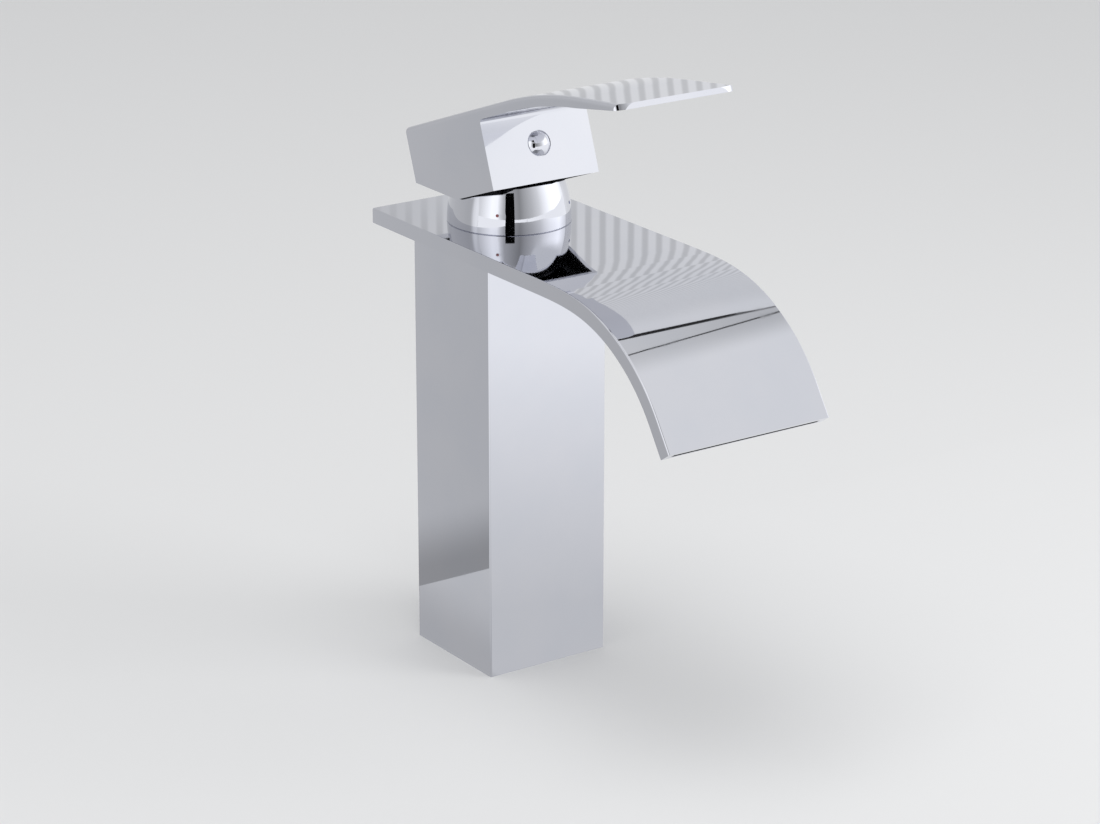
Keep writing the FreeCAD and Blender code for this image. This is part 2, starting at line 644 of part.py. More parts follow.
def dome_ring():
    """The rubber ring that grips the dome on the nut's neck."""
    z = SPOUT_TOP_HEIGHT + DOME_RING_SECTION
    return ring(NUT_NECK_RADIUS, NUT_NECK_RADIUS - DOME_RING_SECTION, z, z + DOME_RING_HEIGHT)


def dome_radius(height, inset=0.0):
    """The dome's radius at a height above the spout; inset gives the inner face."""
    profile = DOME_PROFILE_RADIUS - inset
    return DOME_BASE_RADIUS - DOME_PROFILE_RADIUS + math.sqrt(profile ** 2 - height ** 2)


def dome_cap():
    """The polished dome over the nut: a turned cap with a mouth for the stem."""
    def at(radius, height):
        return vec(radius, 0, SPOUT_TOP_HEIGHT + height)

    inner_top = DOME_HEIGHT - DOME_WALL
    inner_profile = DOME_PROFILE_RADIUS - DOME_WALL
    skirt_run = NUT_NECK_RADIUS - DOME_BASE_RADIUS + DOME_PROFILE_RADIUS
    skirt_top = math.sqrt(inner_profile ** 2 - skirt_run ** 2)
    outline = [
        arc(at(DOME_BASE_RADIUS, 0), at(dome_radius(DOME_HEIGHT / 2), DOME_HEIGHT / 2),
            at(dome_radius(DOME_HEIGHT), DOME_HEIGHT)),
        line(at(dome_radius(DOME_HEIGHT), DOME_HEIGHT), at(DOME_MOUTH_RADIUS, DOME_HEIGHT)),
        line(at(DOME_MOUTH_RADIUS, DOME_HEIGHT), at(DOME_MOUTH_RADIUS, inner_top)),
        line(at(DOME_MOUTH_RADIUS, inner_top), at(dome_radius(inner_top, DOME_WALL), inner_top)),
        arc(at(dome_radius(inner_top, DOME_WALL), inner_top),
            at(dome_radius((inner_top + skirt_top) / 2, DOME_WALL), (inner_top + skirt_top) / 2),
            at(NUT_NECK_RADIUS, skirt_top)),
        line(at(NUT_NECK_RADIUS, skirt_top), at(NUT_NECK_RADIUS, 0)),
        line(at(NUT_NECK_RADIUS, 0), at(DOME_BASE_RADIUS, 0)),
    ]
    cap = face_of(outline).revolve(vec(0, 0, 0), Z_AXIS, 360)

    def rim_at(height):
        def on_rim(point):
            level = abs(point.z - SPOUT_TOP_HEIGHT - height) < 0.01
            return level and math.hypot(point.x, point.y) > DOME_MOUTH_RADIUS + 0.5
        return on_rim

    def foot_edge(point):
        level = abs(point.z - SPOUT_TOP_HEIGHT) < 0.01
        return level and math.hypot(point.x, point.y) > NUT_NECK_RADIUS + 0.5

    cap = cap.makeFillet(DOME_TOP_ROUND, edges_where(cap, rim_at(DOME_HEIGHT)))
    cap = cap.makeFillet(DOME_TOP_ROUND - DOME_WALL, edges_where(cap, rim_at(inner_top)))
    cap = cap.makeChamfer(DOME_BASE_BREAK, edges_where(cap, foot_edge))
    for side in (-1, 1):
        cap = cap.cut(index_dot(side, 1.0))
    return cap


def index_dot(side, stand=INDEX_DOT_STAND):
    """An enamel dot let into the dome, hot on -X and cold on +X."""
    radius = dome_radius(INDEX_DOT_HEIGHT)
    azimuth = math.radians(INDEX_DOT_AZIMUTH)
    outward = vec(side * math.sin(azimuth), -math.cos(azimuth), 0)
    tilt = math.asin(INDEX_DOT_HEIGHT / DOME_PROFILE_RADIUS)
    normal = outward * math.cos(tilt) + Z_AXIS * math.sin(tilt)
    place = outward * radius + vec(0, 0, SPOUT_TOP_HEIGHT + INDEX_DOT_HEIGHT)
    return rod_between(INDEX_DOT_RADIUS, place - normal * INDEX_DOT_DEPTH, place + normal * stand)


# ---------------------------------------------------------------- lever
def hollow_radius(clearance):
    """The radius about the lift axis that clears the dome where the lever's underside ends."""
    dome_reach = math.hypot(dome_radius(LEVER_GAP_ABOVE_SPOUT), LEVER_BOTTOM_Z - PIVOT_Z)
    return dome_reach + clearance


def lever_half_width():
    mouth = math.sqrt(hollow_radius(DOME_CLEARANCE) ** 2 - (LEVER_BOTTOM_Z - PIVOT_Z) ** 2)
    return mouth + LEVER_SIDE_WALL


def front_reach():
    return hollow_radius(HEEL_CLEARANCE) + LEVER_FRONT_WALL


def rear_reach():
    return hollow_radius(HEEL_CLEARANCE) + LEVER_REAR_WALL


def blade_point(depth, angle, beyond=0.0):
    """A point under the blade's top, on its bend; beyond runs on along the tangent."""
    turn = math.radians(angle)
    radius = BLADE_BEND_RADIUS - depth
    y = -BLADE_BEND_START - radius * math.sin(turn) - beyond * math.cos(turn)
    z = LEVER_TOP_Z - BLADE_BEND_RADIUS + radius * math.cos(turn) - beyond * math.sin(turn)
    return y, z


def lever_outline():
    """The lever's side view: a block with a relieved heel, and a blade that bends down."""
    def at(point):
        return vec(-2 * lever_half_width(), point[0], point[1])

    heel_rise = (rear_reach() - LEVER_HEEL_START) * math.tan(math.radians(LEVER_HEEL_ANGLE))
    blade_bottom = LEVER_TOP_Z - BLADE_ROOT_THICKNESS
    middle_thickness = (BLADE_ROOT_THICKNESS + BLADE_KNEE_THICKNESS) / 2
    front_bottom = at((-front_reach(), LEVER_BOTTOM_Z))
    heel = at((LEVER_HEEL_START, LEVER_BOTTOM_Z))
    rear_bottom = at((rear_reach(), LEVER_BOTTOM_Z + heel_rise))
    rear_top = at((rear_reach(), LEVER_TOP_Z))
    bend_start = at(blade_point(0, 0))
    bend_middle = at(blade_point(0, BLADE_BEND_ANGLE / 2))
    bend_end = at(blade_point(0, BLADE_BEND_ANGLE))
    tip_top = at(blade_point(0, BLADE_BEND_ANGLE, BLADE_TIP_LENGTH))
    tip_bottom = at(blade_point(BLADE_TIP_THICKNESS, BLADE_BEND_ANGLE, BLADE_TIP_LENGTH))
    under_end = at(blade_point(BLADE_KNEE_THICKNESS, BLADE_BEND_ANGLE))
    under_middle = at(blade_point(middle_thickness, BLADE_BEND_ANGLE / 2))
    under_start = at((-BLADE_BEND_START, blade_bottom))
    root = at((-front_reach(), blade_bottom))
    return [
        line(front_bottom, heel),
        line(heel, rear_bottom),
        line(rear_bottom, rear_top),
        line(rear_top, bend_start),
        arc(bend_start, bend_middle, bend_end),
        line(bend_end, tip_top),
        line(tip_top, tip_bottom),
        line(tip_bottom, under_end),
        arc(under_end, under_middle, under_start),
        line(under_start, root),
        line(root, front_bottom),
    ]


def lever_plan():
    """The lever's top view: square at the block, widening a little to a rounded tip."""
    block_half = lever_half_width()
    tip_half = block_half + BLADE_TIP_FLARE
    tip_y = blade_point(0, BLADE_BEND_ANGLE, BLADE_TIP_LENGTH)[0]
    z = LEVER_BOTTOM_Z - 1
    front = -front_reach()
    rear = rear_reach()
    run = front - tip_y
    radius = (run ** 2 + BLADE_TIP_FLARE ** 2) / (2 * BLADE_TIP_FLARE)
    middle_y = (front + tip_y) / 2
    middle_flare = radius - math.sqrt(radius ** 2 - (run / 2) ** 2)

    def at(x, y):
        return vec(x, y, z)

    outline = [
        line(at(-block_half, rear), at(-block_half, front)),
        arc(at(-block_half, front), at(-block_half - middle_flare, middle_y), at(-tip_half, tip_y)),
        line(at(-tip_half, tip_y), at(tip_half, tip_y)),
        arc(at(tip_half, tip_y), at(block_half + middle_flare, middle_y), at(block_half, front)),
        line(at(block_half, front), at(block_half, rear)),
        line(at(block_half, rear), at(-block_half, rear)),
    ]
    return face_of(outline).extrude(vec(0, 0, LEVER_HEIGHT + 2))


def lever_blank():
    """The lever's outer form, shut, with its edges rounded."""
    side_view = face_of(lever_outline()).extrude(vec(4 * lever_half_width(), 0, 0))
    body = side_view.common(lever_plan())
    tip_y = blade_point(0, BLADE_BEND_ANGLE, BLADE_TIP_LENGTH)[0]

    def rear_edge(point):
        on_rear = abs(point.y - rear_reach()) < 0.01
        low = LEVER_BOTTOM_Z + (rear_reach() - LEVER_HEEL_START) * math.tan(math.radians(LEVER_HEEL_ANGLE))
        return on_rear and point.z > low + 0.01

    def heel_edge(point):
        on_bottom = abs(point.z - LEVER_BOTTOM_Z) < 0.01
        return abs(point.y - LEVER_HEEL_START) < 0.01 and on_bottom

    def root_edge(point):
        at_root = abs(point.y + front_reach()) < 0.01
        return at_root and abs(point.z - LEVER_TOP_Z + BLADE_ROOT_THICKNESS) < 0.01

    body = body.makeFillet(LEVER_HEEL_ROUND, edges_where(body, heel_edge))
    body = body.makeFillet(BLADE_ROOT_FILLET, edges_where(body, root_edge))

    def on_top(point):
        bend_y, bend_z = blade_point(0, BLADE_BEND_ANGLE)
        slope = math.tan(math.radians(BLADE_BEND_ANGLE))
        reach = math.hypot(point.y + BLADE_BEND_START, point.z - LEVER_TOP_Z + BLADE_BEND_RADIUS)
        on_flat = abs(point.z - LEVER_TOP_Z) < 0.01 and point.y > -BLADE_BEND_START - 0.01
        on_bend = abs(reach - BLADE_BEND_RADIUS) < 0.01
        on_tip = abs(point.z - bend_z - (point.y - bend_y) * slope) < 0.01
        return on_flat or (on_bend and point.y > bend_y - 0.01) or (on_tip and point.y < bend_y + 0.01)

    def long_edge(point):
        return on_top(point) and abs(point.x) > lever_half_width() - 0.01

    body = body.makeFillet(LEVER_TOP_ROUND, edges_where(body, long_edge))
    body = body.makeFillet(LEVER_CORNER_RADIUS, edges_where(body, rear_edge))
    return body.cut(blade_corner_waste(1)).cut(blade_corner_waste(-1))


def blade_corner_waste(side):
    """What is cut away outside the blade's oval corner on one side."""
    inner = lever_half_width() + BLADE_TIP_FLARE - BLADE_CORNER_WIDTH
    tip_y = blade_point(0, BLADE_BEND_ANGLE, BLADE_TIP_LENGTH)[0]
    corner_y = tip_y + BLADE_CORNER_DEPTH
    ends = sorted((side * inner, side * (inner + BLADE_CORNER_WIDTH + 1)))
    waste = block(ends[0], ends[1], tip_y - 1, corner_y, LEVER_BOTTOM_Z, LEVER_TOP_Z + 1)
    oval = Part.Ellipse(vec(side * inner, corner_y, LEVER_BOTTOM_Z), BLADE_CORNER_WIDTH, BLADE_CORNER_DEPTH)
    return waste.cut(face_of([oval.toShape()]).extrude(vec(0, 0, LEVER_HEIGHT + 1)))


def lever_handle():
    """The lever's casting: hollow below to clear the dome, with a socket for the stem."""
    body = lever_blank()
    heel_radius = hollow_radius(HEEL_CLEARANCE)
    heel_half = lever_half_width() - HEEL_HOLLOW_SIDE_WALL
    hollow = Part.makeSphere(hollow_radius(DOME_CLEARANCE), PIVOT)
    hollow = hollow.fuse(rod_between(heel_radius, vec(-heel_half, 0, PIVOT_Z), vec(heel_half, 0, PIVOT_Z)))
    rim_half = lever_half_width() - LEVER_RIM_WALL
    rim_front = LEVER_RIM_WALL - front_reach()
    rim_top = LEVER_BOTTOM_Z + LEVER_RIM_DEPTH
    pocket = block(-rim_half, rim_half, rim_front, LEVER_HEEL_START, LEVER_BOTTOM_Z - 1, rim_top)
    hollow = hollow.fuse(pocket)
    socket = STEM_WIDTH + 2 * SOCKET_CLEARANCE
    boss_width = socket + 2 * SOCKET_WALL
    top = STEM_LENGTH + SOCKET_CLEARANCE
    boss = centred_block(boss_width, boss_width, PIVOT_Z + SOCKET_START, PIVOT_Z + heel_radius + SOCKET_WALL)
    hole = centred_block(socket, socket, PIVOT_Z, PIVOT_Z + top)
    boss = turned(boss, -STEM_LEAN_WHEN_SHUT)
    hole = turned(hole, -STEM_LEAN_WHEN_SHUT)
    body = body.cut(hollow.cut(boss))
    body = body.cut(hole)
    body = body.cut(screw_way())
    return turned(body, LIFT_AT_REST)


def screw_axis_point(reach):
    """A point on the set screw's axis, a distance in front of the lift axis."""
    return vec(0, -reach, PIVOT_Z + SET_SCREW_ABOVE_PIVOT)


def screw_tip_reach():
    """How far in front of the lift axis the screw's point meets the stem."""
    lean = math.radians(STEM_LEAN_WHEN_SHUT)
    low_side = SET_SCREW_ABOVE_PIVOT + SET_SCREW_RADIUS
    return STEM_WIDTH / 2 / math.cos(lean) + low_side * math.tan(lean)


def screw_way():
    """The tapped hole for the set screw, and the plug's hole and recess in front of it."""
    face = screw_axis_point(front_reach())
    shank = screw_axis_point(front_reach() - PLUG_SHANK_LENGTH)
    recess = screw_axis_point(front_reach() - PLUG_RECESS_DEPTH)
    way = rod_between(SET_SCREW_RADIUS, face, screw_axis_point(0))
    way = way.fuse(rod_between(PLUG_SHANK_RADIUS, face, shank))
    return way.fuse(rod_between(PLUG_HEAD_RADIUS + PLUG_RECESS_CLEARANCE, face, recess))


def set_screw():
    """The grub screw that clamps the lever on the stem."""
    tip = screw_tip_reach() + SLIDE_CLEARANCE
    body = rod_between(SET_SCREW_RADIUS, screw_axis_point(tip + SET_SCREW_LENGTH), screw_axis_point(tip))
    corner = SET_SCREW_HEX / math.sqrt(3)
    corners = [
        vec(corner * math.cos(math.radians(60 * step)), -tip - SET_SCREW_LENGTH,
            PIVOT_Z + SET_SCREW_ABOVE_PIVOT + corner * math.sin(math.radians(60 * step)))
        for step in range(7)
    ]
    hexagon = Part.Face(Part.makePolygon(corners)).extrude(vec(0, SET_SCREW_HEX, 0))
    return turned(body.cut(hexagon), LIFT_AT_REST)


def screw_plug():
    """The round-headed plug that hides the set screw."""
    floor = front_reach() - PLUG_RECESS_DEPTH
    crown = floor + PLUG_HEAD_HEIGHT + PLUG_RECESS_DEPTH
    rise = PLUG_HEAD_HEIGHT
    radius = (PLUG_HEAD_RADIUS ** 2 + rise ** 2) / (2 * rise)
    head = rod_between(PLUG_HEAD_RADIUS, screw_axis_point(floor), screw_axis_point(crown))
    head = head.common(Part.makeSphere(radius, screw_axis_point(crown - radius)))
    shank = rod_between(PLUG_SHANK_RADIUS, screw_axis_point(front_reach() - PLUG_SHANK_LENGTH),
                        screw_axis_point(floor))
    return turned(join([head, shank]), LIFT_AT_REST)


# ---------------------------------------------------------------- clamp below the deck
def clamp_stud():
    return rod(STUD_RADIUS, STUD_BOTTOM_Z, FOOT_TOP_Z, 0, STUD_Y)


def horseshoe(radius, z_low, z_high):
    """A crescent washer round the hoses, holed for the stud."""
    plate = rod(radius, z_low, z_high)
    half = WASHER_MOUTH_WIDTH / 2
    plate = plate.cut(block(-half, half, -WASHER_RADIUS, WASHER_MOUTH_END, z_low, z_high))
    return plate.cut(rod(STUD_RADIUS, z_low, z_high, 0, STUD_Y))


def rubber_washer():
    return horseshoe(WASHER_RADIUS, RUBBER_WASHER_Z, -DECK_THICKNESS)


def steel_washer():
    return horseshoe(WASHER_RADIUS - STEEL_WASHER_INSET, STEEL_WASHER_Z, RUBBER_WASHER_Z)


def clamp_nut():
    """The hexagon nut that draws the washers up against the deck."""
    corner = CLAMP_NUT_ACROSS_FLATS / math.sqrt(3)
    corners = [
        vec(corner * math.cos(math.radians(60 * step)), STUD_Y + corner * math.sin(math.radians(60 * step)),
            CLAMP_NUT_Z)
        for step in range(7)
    ]
    body = Part.Face(Part.makePolygon(corners)).extrude(vec(0, 0, CLAMP_NUT_HEIGHT))
    cone_radius = corner + CLAMP_NUT_HEIGHT - CLAMP_NUT_CHAMFER
    flat_radius = corner - CLAMP_NUT_CHAMFER
    cone = Part.makeCone(flat_radius, cone_radius, cone_radius - flat_radius, vec(0, STUD_Y, CLAMP_NUT_Z))
    return body.common(cone).cut(rod(STUD_RADIUS, CLAMP_NUT_Z, STEEL_WASHER_Z, 0, STUD_Y))


# ---------------------------------------------------------------- all pieces
PIECES = {
    "column_shell": column_shell(),
    "foot_gasket": foot_gasket(),
    "foot_block": foot_block(),
    "hot_supply_pipe": supply_pipe(-1),
    "cold_supply_pipe": supply_pipe(1),
    "valve_block": valve_block(),
    "spout_shell": spout_shell(),
    "spout_liner": spout_liner(),
    "cartridge_base": cartridge_base(),
    "port_seals": port_seals(),
    "fixed_ceramic_disc": fixed_disc(),
    "moving_ceramic_disc": moving_disc(),
    "disc_carrier": disc_carrier(),
    "cartridge_housing": cartridge_housing(),
    "cartridge_rotor": cartridge_rotor(),
    "pivot_pin": pivot_pin(),
    "stem": stem(),
    "retaining_nut": retaining_nut(),
    "dome_ring": dome_ring(),
    "dome_cap": dome_cap(),
    "hot_index_dot": index_dot(-1),
    "cold_index_dot": index_dot(1),
    "lever_handle": lever_handle(),
    "set_screw": set_screw(),
    "screw_plug": screw_plug(),
    "clamp_stud": clamp_stud(),
    "rubber_washer": rubber_washer(),
    "steel_washer": steel_washer(),
    "clamp_nut": clamp_nut(),
}

os.makedirs("parts", exist_ok=True)
for name, shape in PIECES.items():
    shape.exportStep("parts/" + name + ".step")
    box = shape.BoundBox
    print(f"{name}: {len(shape.Solids)} solid, {shape.Volume:.0f} mm3, valid {shape.isValid()}, "
          f"z {box.ZMin:.1f} to {box.ZMax:.1f}")
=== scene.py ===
# %% [markdown]
# # Dressing a single-lever faucet
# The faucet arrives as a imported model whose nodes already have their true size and
# place, in metres. This lesson gives each piece its finish, makes the two pieces that
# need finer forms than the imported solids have, and lights the whole in a small studio.
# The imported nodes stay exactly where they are, because joints and mounts rely on them.

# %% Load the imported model
import math

import bmesh
import bpy
from mathutils import Matrix, Vector


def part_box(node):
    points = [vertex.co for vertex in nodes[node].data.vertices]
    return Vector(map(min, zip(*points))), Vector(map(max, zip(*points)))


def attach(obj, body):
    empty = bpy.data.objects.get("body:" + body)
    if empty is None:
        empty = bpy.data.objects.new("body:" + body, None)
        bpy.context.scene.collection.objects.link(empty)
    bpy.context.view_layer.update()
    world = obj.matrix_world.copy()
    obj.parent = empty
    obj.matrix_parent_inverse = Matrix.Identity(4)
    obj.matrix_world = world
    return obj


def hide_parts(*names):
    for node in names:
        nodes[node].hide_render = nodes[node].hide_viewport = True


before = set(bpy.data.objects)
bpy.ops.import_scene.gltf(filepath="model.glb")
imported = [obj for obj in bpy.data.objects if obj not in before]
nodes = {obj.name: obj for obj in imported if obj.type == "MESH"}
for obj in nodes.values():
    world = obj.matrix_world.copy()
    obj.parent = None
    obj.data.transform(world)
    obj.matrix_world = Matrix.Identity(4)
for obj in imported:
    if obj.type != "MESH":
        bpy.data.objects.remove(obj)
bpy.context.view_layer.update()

# %% [markdown]
# ## The camera
# A product picture of a faucet is taken with a long lens from the front left and a
# little above, so that its upright edges stay parallel. The camera is turned first
# about the upright axis (heading) and then dipped, which is easier to read than a
# matrix of sixteen numbers.

# %% Set up the camera
CAMERA_PLACE = Vector((-0.60174, -0.89861, 0.45835))
CAMERA_HEADING = math.radians(34.496)
CAMERA_DIP = math.radians(19.251)
LENS_MM = 115.08
SENSOR_MM = 36.0

lens_data = bpy.data.cameras.new("studio_camera")
lens_data.sensor_fit = "HORIZONTAL"
lens_data.sensor_width = SENSOR_MM
lens_data.lens = LENS_MM
lens_data.clip_start = 0.01
camera = bpy.data.objects.new("studio_camera", lens_data)
bpy.context.scene.collection.objects.link(camera)
camera.matrix_world = (
    Matrix.Translation(CAMERA_PLACE)
    @ Matrix.Rotation(-CAMERA_HEADING, 4, "Z")
    @ Matrix.Rotation(math.radians(90) - CAMERA_DIP, 4, "X")
)
bpy.context.scene.camera = camera
print(f"camera {CAMERA_PLACE.length:.3f} m from the column's foot, {LENS_MM} mm lens")

# %% [markdown]
# ## Writing finishes as sums
# A node material could be wired by hand, one link at a time, but the sense of it is
# soon lost. Here one small class wraps a socket, so that a pattern is written as an
# expression: `0.05 + 0.04 * smudge` makes its own Math nodes. Every other node comes
# from a single method that takes its type, its settings and its sockets' values.


# %% A socket that can be added and multiplied
class Wire:
    """A socket in a finish's node tree, on which sums can be written."""

    def __init__(self, tree, socket=None):
        self.tree = tree
        self.socket = socket

    def node(self, kind, settings=None, values=None, output=0):
        """Adds a node: first its settings, then the values or links of its sockets."""
        made = self.tree.nodes.new(kind)
        for name, value in (settings or {}).items():
            if name == "stops":
                self._set_stops(made.color_ramp, value)
            else:
                setattr(made, name, value)
        for name, value in (values or {}).items():
            if isinstance(value, Wire):
                self.tree.links.new(value.socket, made.inputs[name])
            else:
                made.inputs[name].default_value = value
        return Wire(self.tree, made.outputs[output])

    def _set_stops(self, ramp, stops):
        """Gives a colour ramp its grey stops. A new ramp already has a first and a last."""
        for stop, (place, tone) in zip(ramp.elements, (stops[0], stops[-1])):
            stop.position = place
            stop.color = (tone, tone, tone, 1.0)
        for place, tone in stops[1:-1]:
            ramp.elements.new(place).color = (tone, tone, tone, 1.0)

    def _math(self, operation, first, second=0.0):
        return self.node("ShaderNodeMath", {"operation": operation}, {0: first, 1: second})

    def _vector(self, operation, second=(0.0, 0.0, 0.0), output="Value"):
        values = {0: self, 1: second}
        return self.node("ShaderNodeVectorMath", {"operation": operation}, values, output)

    def __add__(self, other):
        return self._math("ADD", self, other)

    __radd__ = __add__

    def __mul__(self, other):
        return self._math("MULTIPLY", self, other)

    __rmul__ = __mul__

    def __sub__(self, other):
        return self._math("SUBTRACT", self, other)

    def __rsub__(self, other):
        return self._math("SUBTRACT", other, self)

    def above(self, limit):
        """1 where the value is above a limit, else 0."""
        return self._math("GREATER_THAN", self, limit)

    def below(self, limit):
        """1 where the value is below a limit, else 0."""
        return self._math("LESS_THAN", self, limit)

    def larger(self, other):
        """The larger of two values."""
        return self._math("MAXIMUM", self, other)

    def size(self):
        """The value without its sign."""
        return self._math("ABSOLUTE", self)

    def sine(self):
        """The sine of an angle in radians."""
        return self._math("SINE", self)

    def turn_from(self, other):
        """The angle in radians whose tangent is this value over another."""
        return self._math("ARCTAN2", self, other)

    def ramp(self, low, high):
        """0 where the value is below low, 1 above high, and smooth between."""
        values = {"Value": self, "From Min": low, "From Max": high}
        return self.node("ShaderNodeMapRange", {"interpolation_type": "SMOOTHSTEP"}, values)

    def table(self, rows, reach):
        """Looks the value up in rows of value and tone, in order, that lie in a reach."""
        low, high = reach
        most = max(tone for _, tone in rows)
        stops = [((value - low) / (high - low), tone / most) for value, tone in rows]
        share = (self - low) * (1.0 / (high - low))
        return self.node("ShaderNodeValToRGB", {"stops": stops}, {0: share}) * most

    def between(self, first, second):
        """The first number where the value is 0, the second where it is 1."""
        return first + (second - first) * self

    def mix(self, first, second):
        """The first colour where the value is 0, the second where it is 1."""
        values = {0: self, 6: first, 7: second}
        values = {k: (*v, 1.0) if isinstance(v, tuple) else v for k, v in values.items()}
        return self.node("ShaderNodeMix", {"data_type": "RGBA"}, values, output=2)

    def tinted(self, tint):
        """A tint as many times as bright as the value."""
        values = {0: tint, "Scale": self}
        return self.node("ShaderNodeVectorMath", {"operation": "SCALE"}, values)

    def part(self, axis):
        """One part of a vector: X, Y or Z."""
        return self.node("ShaderNodeSeparateXYZ", {}, {0: self}, output=axis)

    def length(self):
        """A vector's length."""
        return self._vector("LENGTH")

    def along(self, direction):
        """How far a vector reaches along a direction."""
        return self._vector("DOT_PRODUCT", direction)

    def minus(self, point):
        """A place as seen from a point."""
        return self._vector("SUBTRACT", point, output="Vector")


print("a Wire knows + - *, masks, tables and mixes")

# %% [markdown]
# ## Starting a finish
# Each finish starts from the Principled shader. Its patterns read Object coordinates:
# the pieces sit at the origin with their place in their mesh, so one millimetre in the
# pattern is one millimetre on the metal, and the pattern turns with the lever. What is
# the same all over a piece is set on the shader's own socket, and only what changes
# over the surface is linked.


# %% Helpers for every finish
EVEN = (1.0, 1.0, 1.0)
ALONG_X = (0.15, 1.0, 1.0)
ALONG_Y = (1.0, 0.12, 1.0)
ALONG_Z = (1.0, 1.0, 0.12)
NO_SHIFT = (0.0, 0.0, 0.0)


def start_finish(name):
    """A new material, its shader, and the surface's place as a wire."""
    material = bpy.data.materials.new(name)
    material.use_nodes = True
    tree = material.node_tree
    place = Wire(tree).node("ShaderNodeTexCoord", output="Object")
    return material, tree.nodes["Principled BSDF"], place


def link_finish(shader, **sockets):
    """Sets the shader's constant sockets and links the ones that vary."""
    for name, value in sockets.items():
        socket = shader.inputs[name.replace("_", " ")]
        if isinstance(value, Wire):
            value.tree.links.new(value.socket, socket)
        else:
            socket.default_value = (*value, 1.0) if isinstance(value, tuple) else value


def link_surface(shaded):
    """Makes a shader the one that the material shows."""
    shown = shaded.tree.nodes["Material Output"].inputs["Surface"]
    shaded.tree.links.new(shaded.socket, shown)


def noise(place, scale, detail=2.0, stretch=EVEN, shift=NO_SHIFT):
    """Cloudy noise of so many clouds to the metre, stretched and shifted on the piece."""
    stretched = {"Vector": place, "Scale": stretch, "Location": shift}
    moved = place.node("ShaderNodeMapping", {}, stretched)
    values = {"Vector": moved, "Scale": scale, "Detail": detail}
    return place.node("ShaderNodeTexNoise", {}, values)


def bump(height, depth, strength=1.0):
    """Turns a height between 0 and 1 into a surface so many metres deep."""
    values = {"Height": height, "Distance": depth, "Strength": strength}
    return height.node("ShaderNodeBump", {}, values)


def dress(finish, *names):
    """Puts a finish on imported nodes."""
    for name in names:
        for material_slot in nodes[name].material_slots:
            material_slot.material = finish
    print(f"{finish.name}: {', '.join(names)}")


print("patterns run evenly, or are stretched along one axis")

# %% [markdown]
# ## Chrome plate
# The body, dome and lever are brass under bright chrome. The metal could be a mirror
# of one grey, but real plate shows three faint things up close: a cool tint, a haze
# where a cloth has wiped it, and slow waves left by the buffing wheel. The haze only
# changes the roughness, and the waves are a bump a hundredth of a millimetre deep, so
# that reflections stay crisp.


# %% Chrome
CHROME_TINT = (0.655, 0.66, 0.70)
CHROME_DEEP = (0.635, 0.645, 0.69)
WAVE_DEPTH = 0.000012


def plating(place, wipe_direction, shift):
    """The colour, roughness and waves of bright plate, with a haze wiped one way."""
    cloud = noise(place, 38.0, 3.0, shift=shift)
    wiped = noise(place, 260.0, 2.0, stretch=wipe_direction, shift=shift)
    haze = cloud.ramp(0.48, 0.72) * wiped.ramp(0.35, 0.75)
    waves = noise(place, 55.0, 1.0, shift=shift)
    colour = cloud.ramp(0.3, 0.7).mix(CHROME_TINT, CHROME_DEEP)
    return colour, 0.030 + 0.060 * haze, bump(waves, WAVE_DEPTH)


def chrome(name, wipe_direction, shift):
    """Bright plate. The shift keeps two pieces from having the same marks."""
    material, shader, place = start_finish(name)
    colour, roughness, waves = plating(place, wipe_direction, shift)
    link_finish(shader, Base_Color=colour, Metallic=1.0, Roughness=roughness, Normal=waves)
    return material


dress(chrome("chrome_column", ALONG_Z, NO_SHIFT), "column_shell")
dress(chrome("chrome_band", ALONG_Y, (0.31, 0.0, 0.0)), "spout_shell", "spout_liner")
dress(chrome("chrome_dome", EVEN, (0.0, 0.47, 0.0)), "dome_cap")
dress(chrome("chrome_button", EVEN, (0.11, 0.0, 0.2)), "screw_plug")

# %% [markdown]
# ## The lever's plated outside and painted shade beneath
# The underside and the hollow of the lever's casting are painted a dull dark metal
# colour as shade, and that is why the lever's reflection in the spout is nearly black.
# It could be a second material on the inner faces, but the node is one imported mesh.
# A mask by place does the same: points are turned back to where the lever is shut,
# and those inside the rim or within the hollow's radius get the painted shade.

# %% Lever
PIVOT = Vector((0.0, 0.0, 0.153))
LIFT_AT_REST = math.radians(20)
HOLLOW_RADIUS = 0.0201
RIM_HALF = 0.0188
RIM_FRONT = -0.0222
RIM_LOW = 0.00256
RIM_HIGH = 0.0076
UNDERSIDE_SHADE_DARK = (0.050, 0.050, 0.055)
UNDERSIDE_SHADE_PALE = (0.085, 0.085, 0.09)
UNDERSIDE_ROUGHNESS = 0.5

lever_finish, shader, place = start_finish("chrome_lever")
turned_back = {"Vector": place.minus(PIVOT), "Rotation": (LIFT_AT_REST, 0.0, 0.0)}
shut = place.node("ShaderNodeMapping", {}, turned_back)
aside, forward, height = (shut.part(axis) for axis in "XYZ")
# Painted shade: the lever's underside rim and hollow get a dull dark colour.
in_rim = (aside * aside).below(RIM_HALF ** 2) * forward.above(RIM_FRONT)
in_rim = in_rim * height.above(RIM_LOW) * height.below(RIM_HIGH)
painted_underside_shade = in_rim.larger(shut.length().below(HOLLOW_RADIUS))
colour, roughness, waves = plating(place, ALONG_Y, (0.0, 0.0, 0.53))
underside_shade_tone = noise(place, 900.0, 3.0).ramp(0.3, 0.7).mix(UNDERSIDE_SHADE_DARK, UNDERSIDE_SHADE_PALE)
link_finish(
    shader,
    Base_Color=painted_underside_shade.mix(colour, underside_shade_tone),
    Metallic=1.0,
    Roughness=roughness * (1.0 - painted_underside_shade) + UNDERSIDE_ROUGHNESS * painted_underside_shade,
    Normal=waves,
)
dress(lever_finish, "lever_handle")

# %% [markdown]
# ## Rubber
# The foot pad, the seals and the washer of the clamp are moulded rubber. Black rubber
# is never black: it carries a grey bloom in patches and a fine pebbled skin from the
# mould. Both come from noise at two scales.


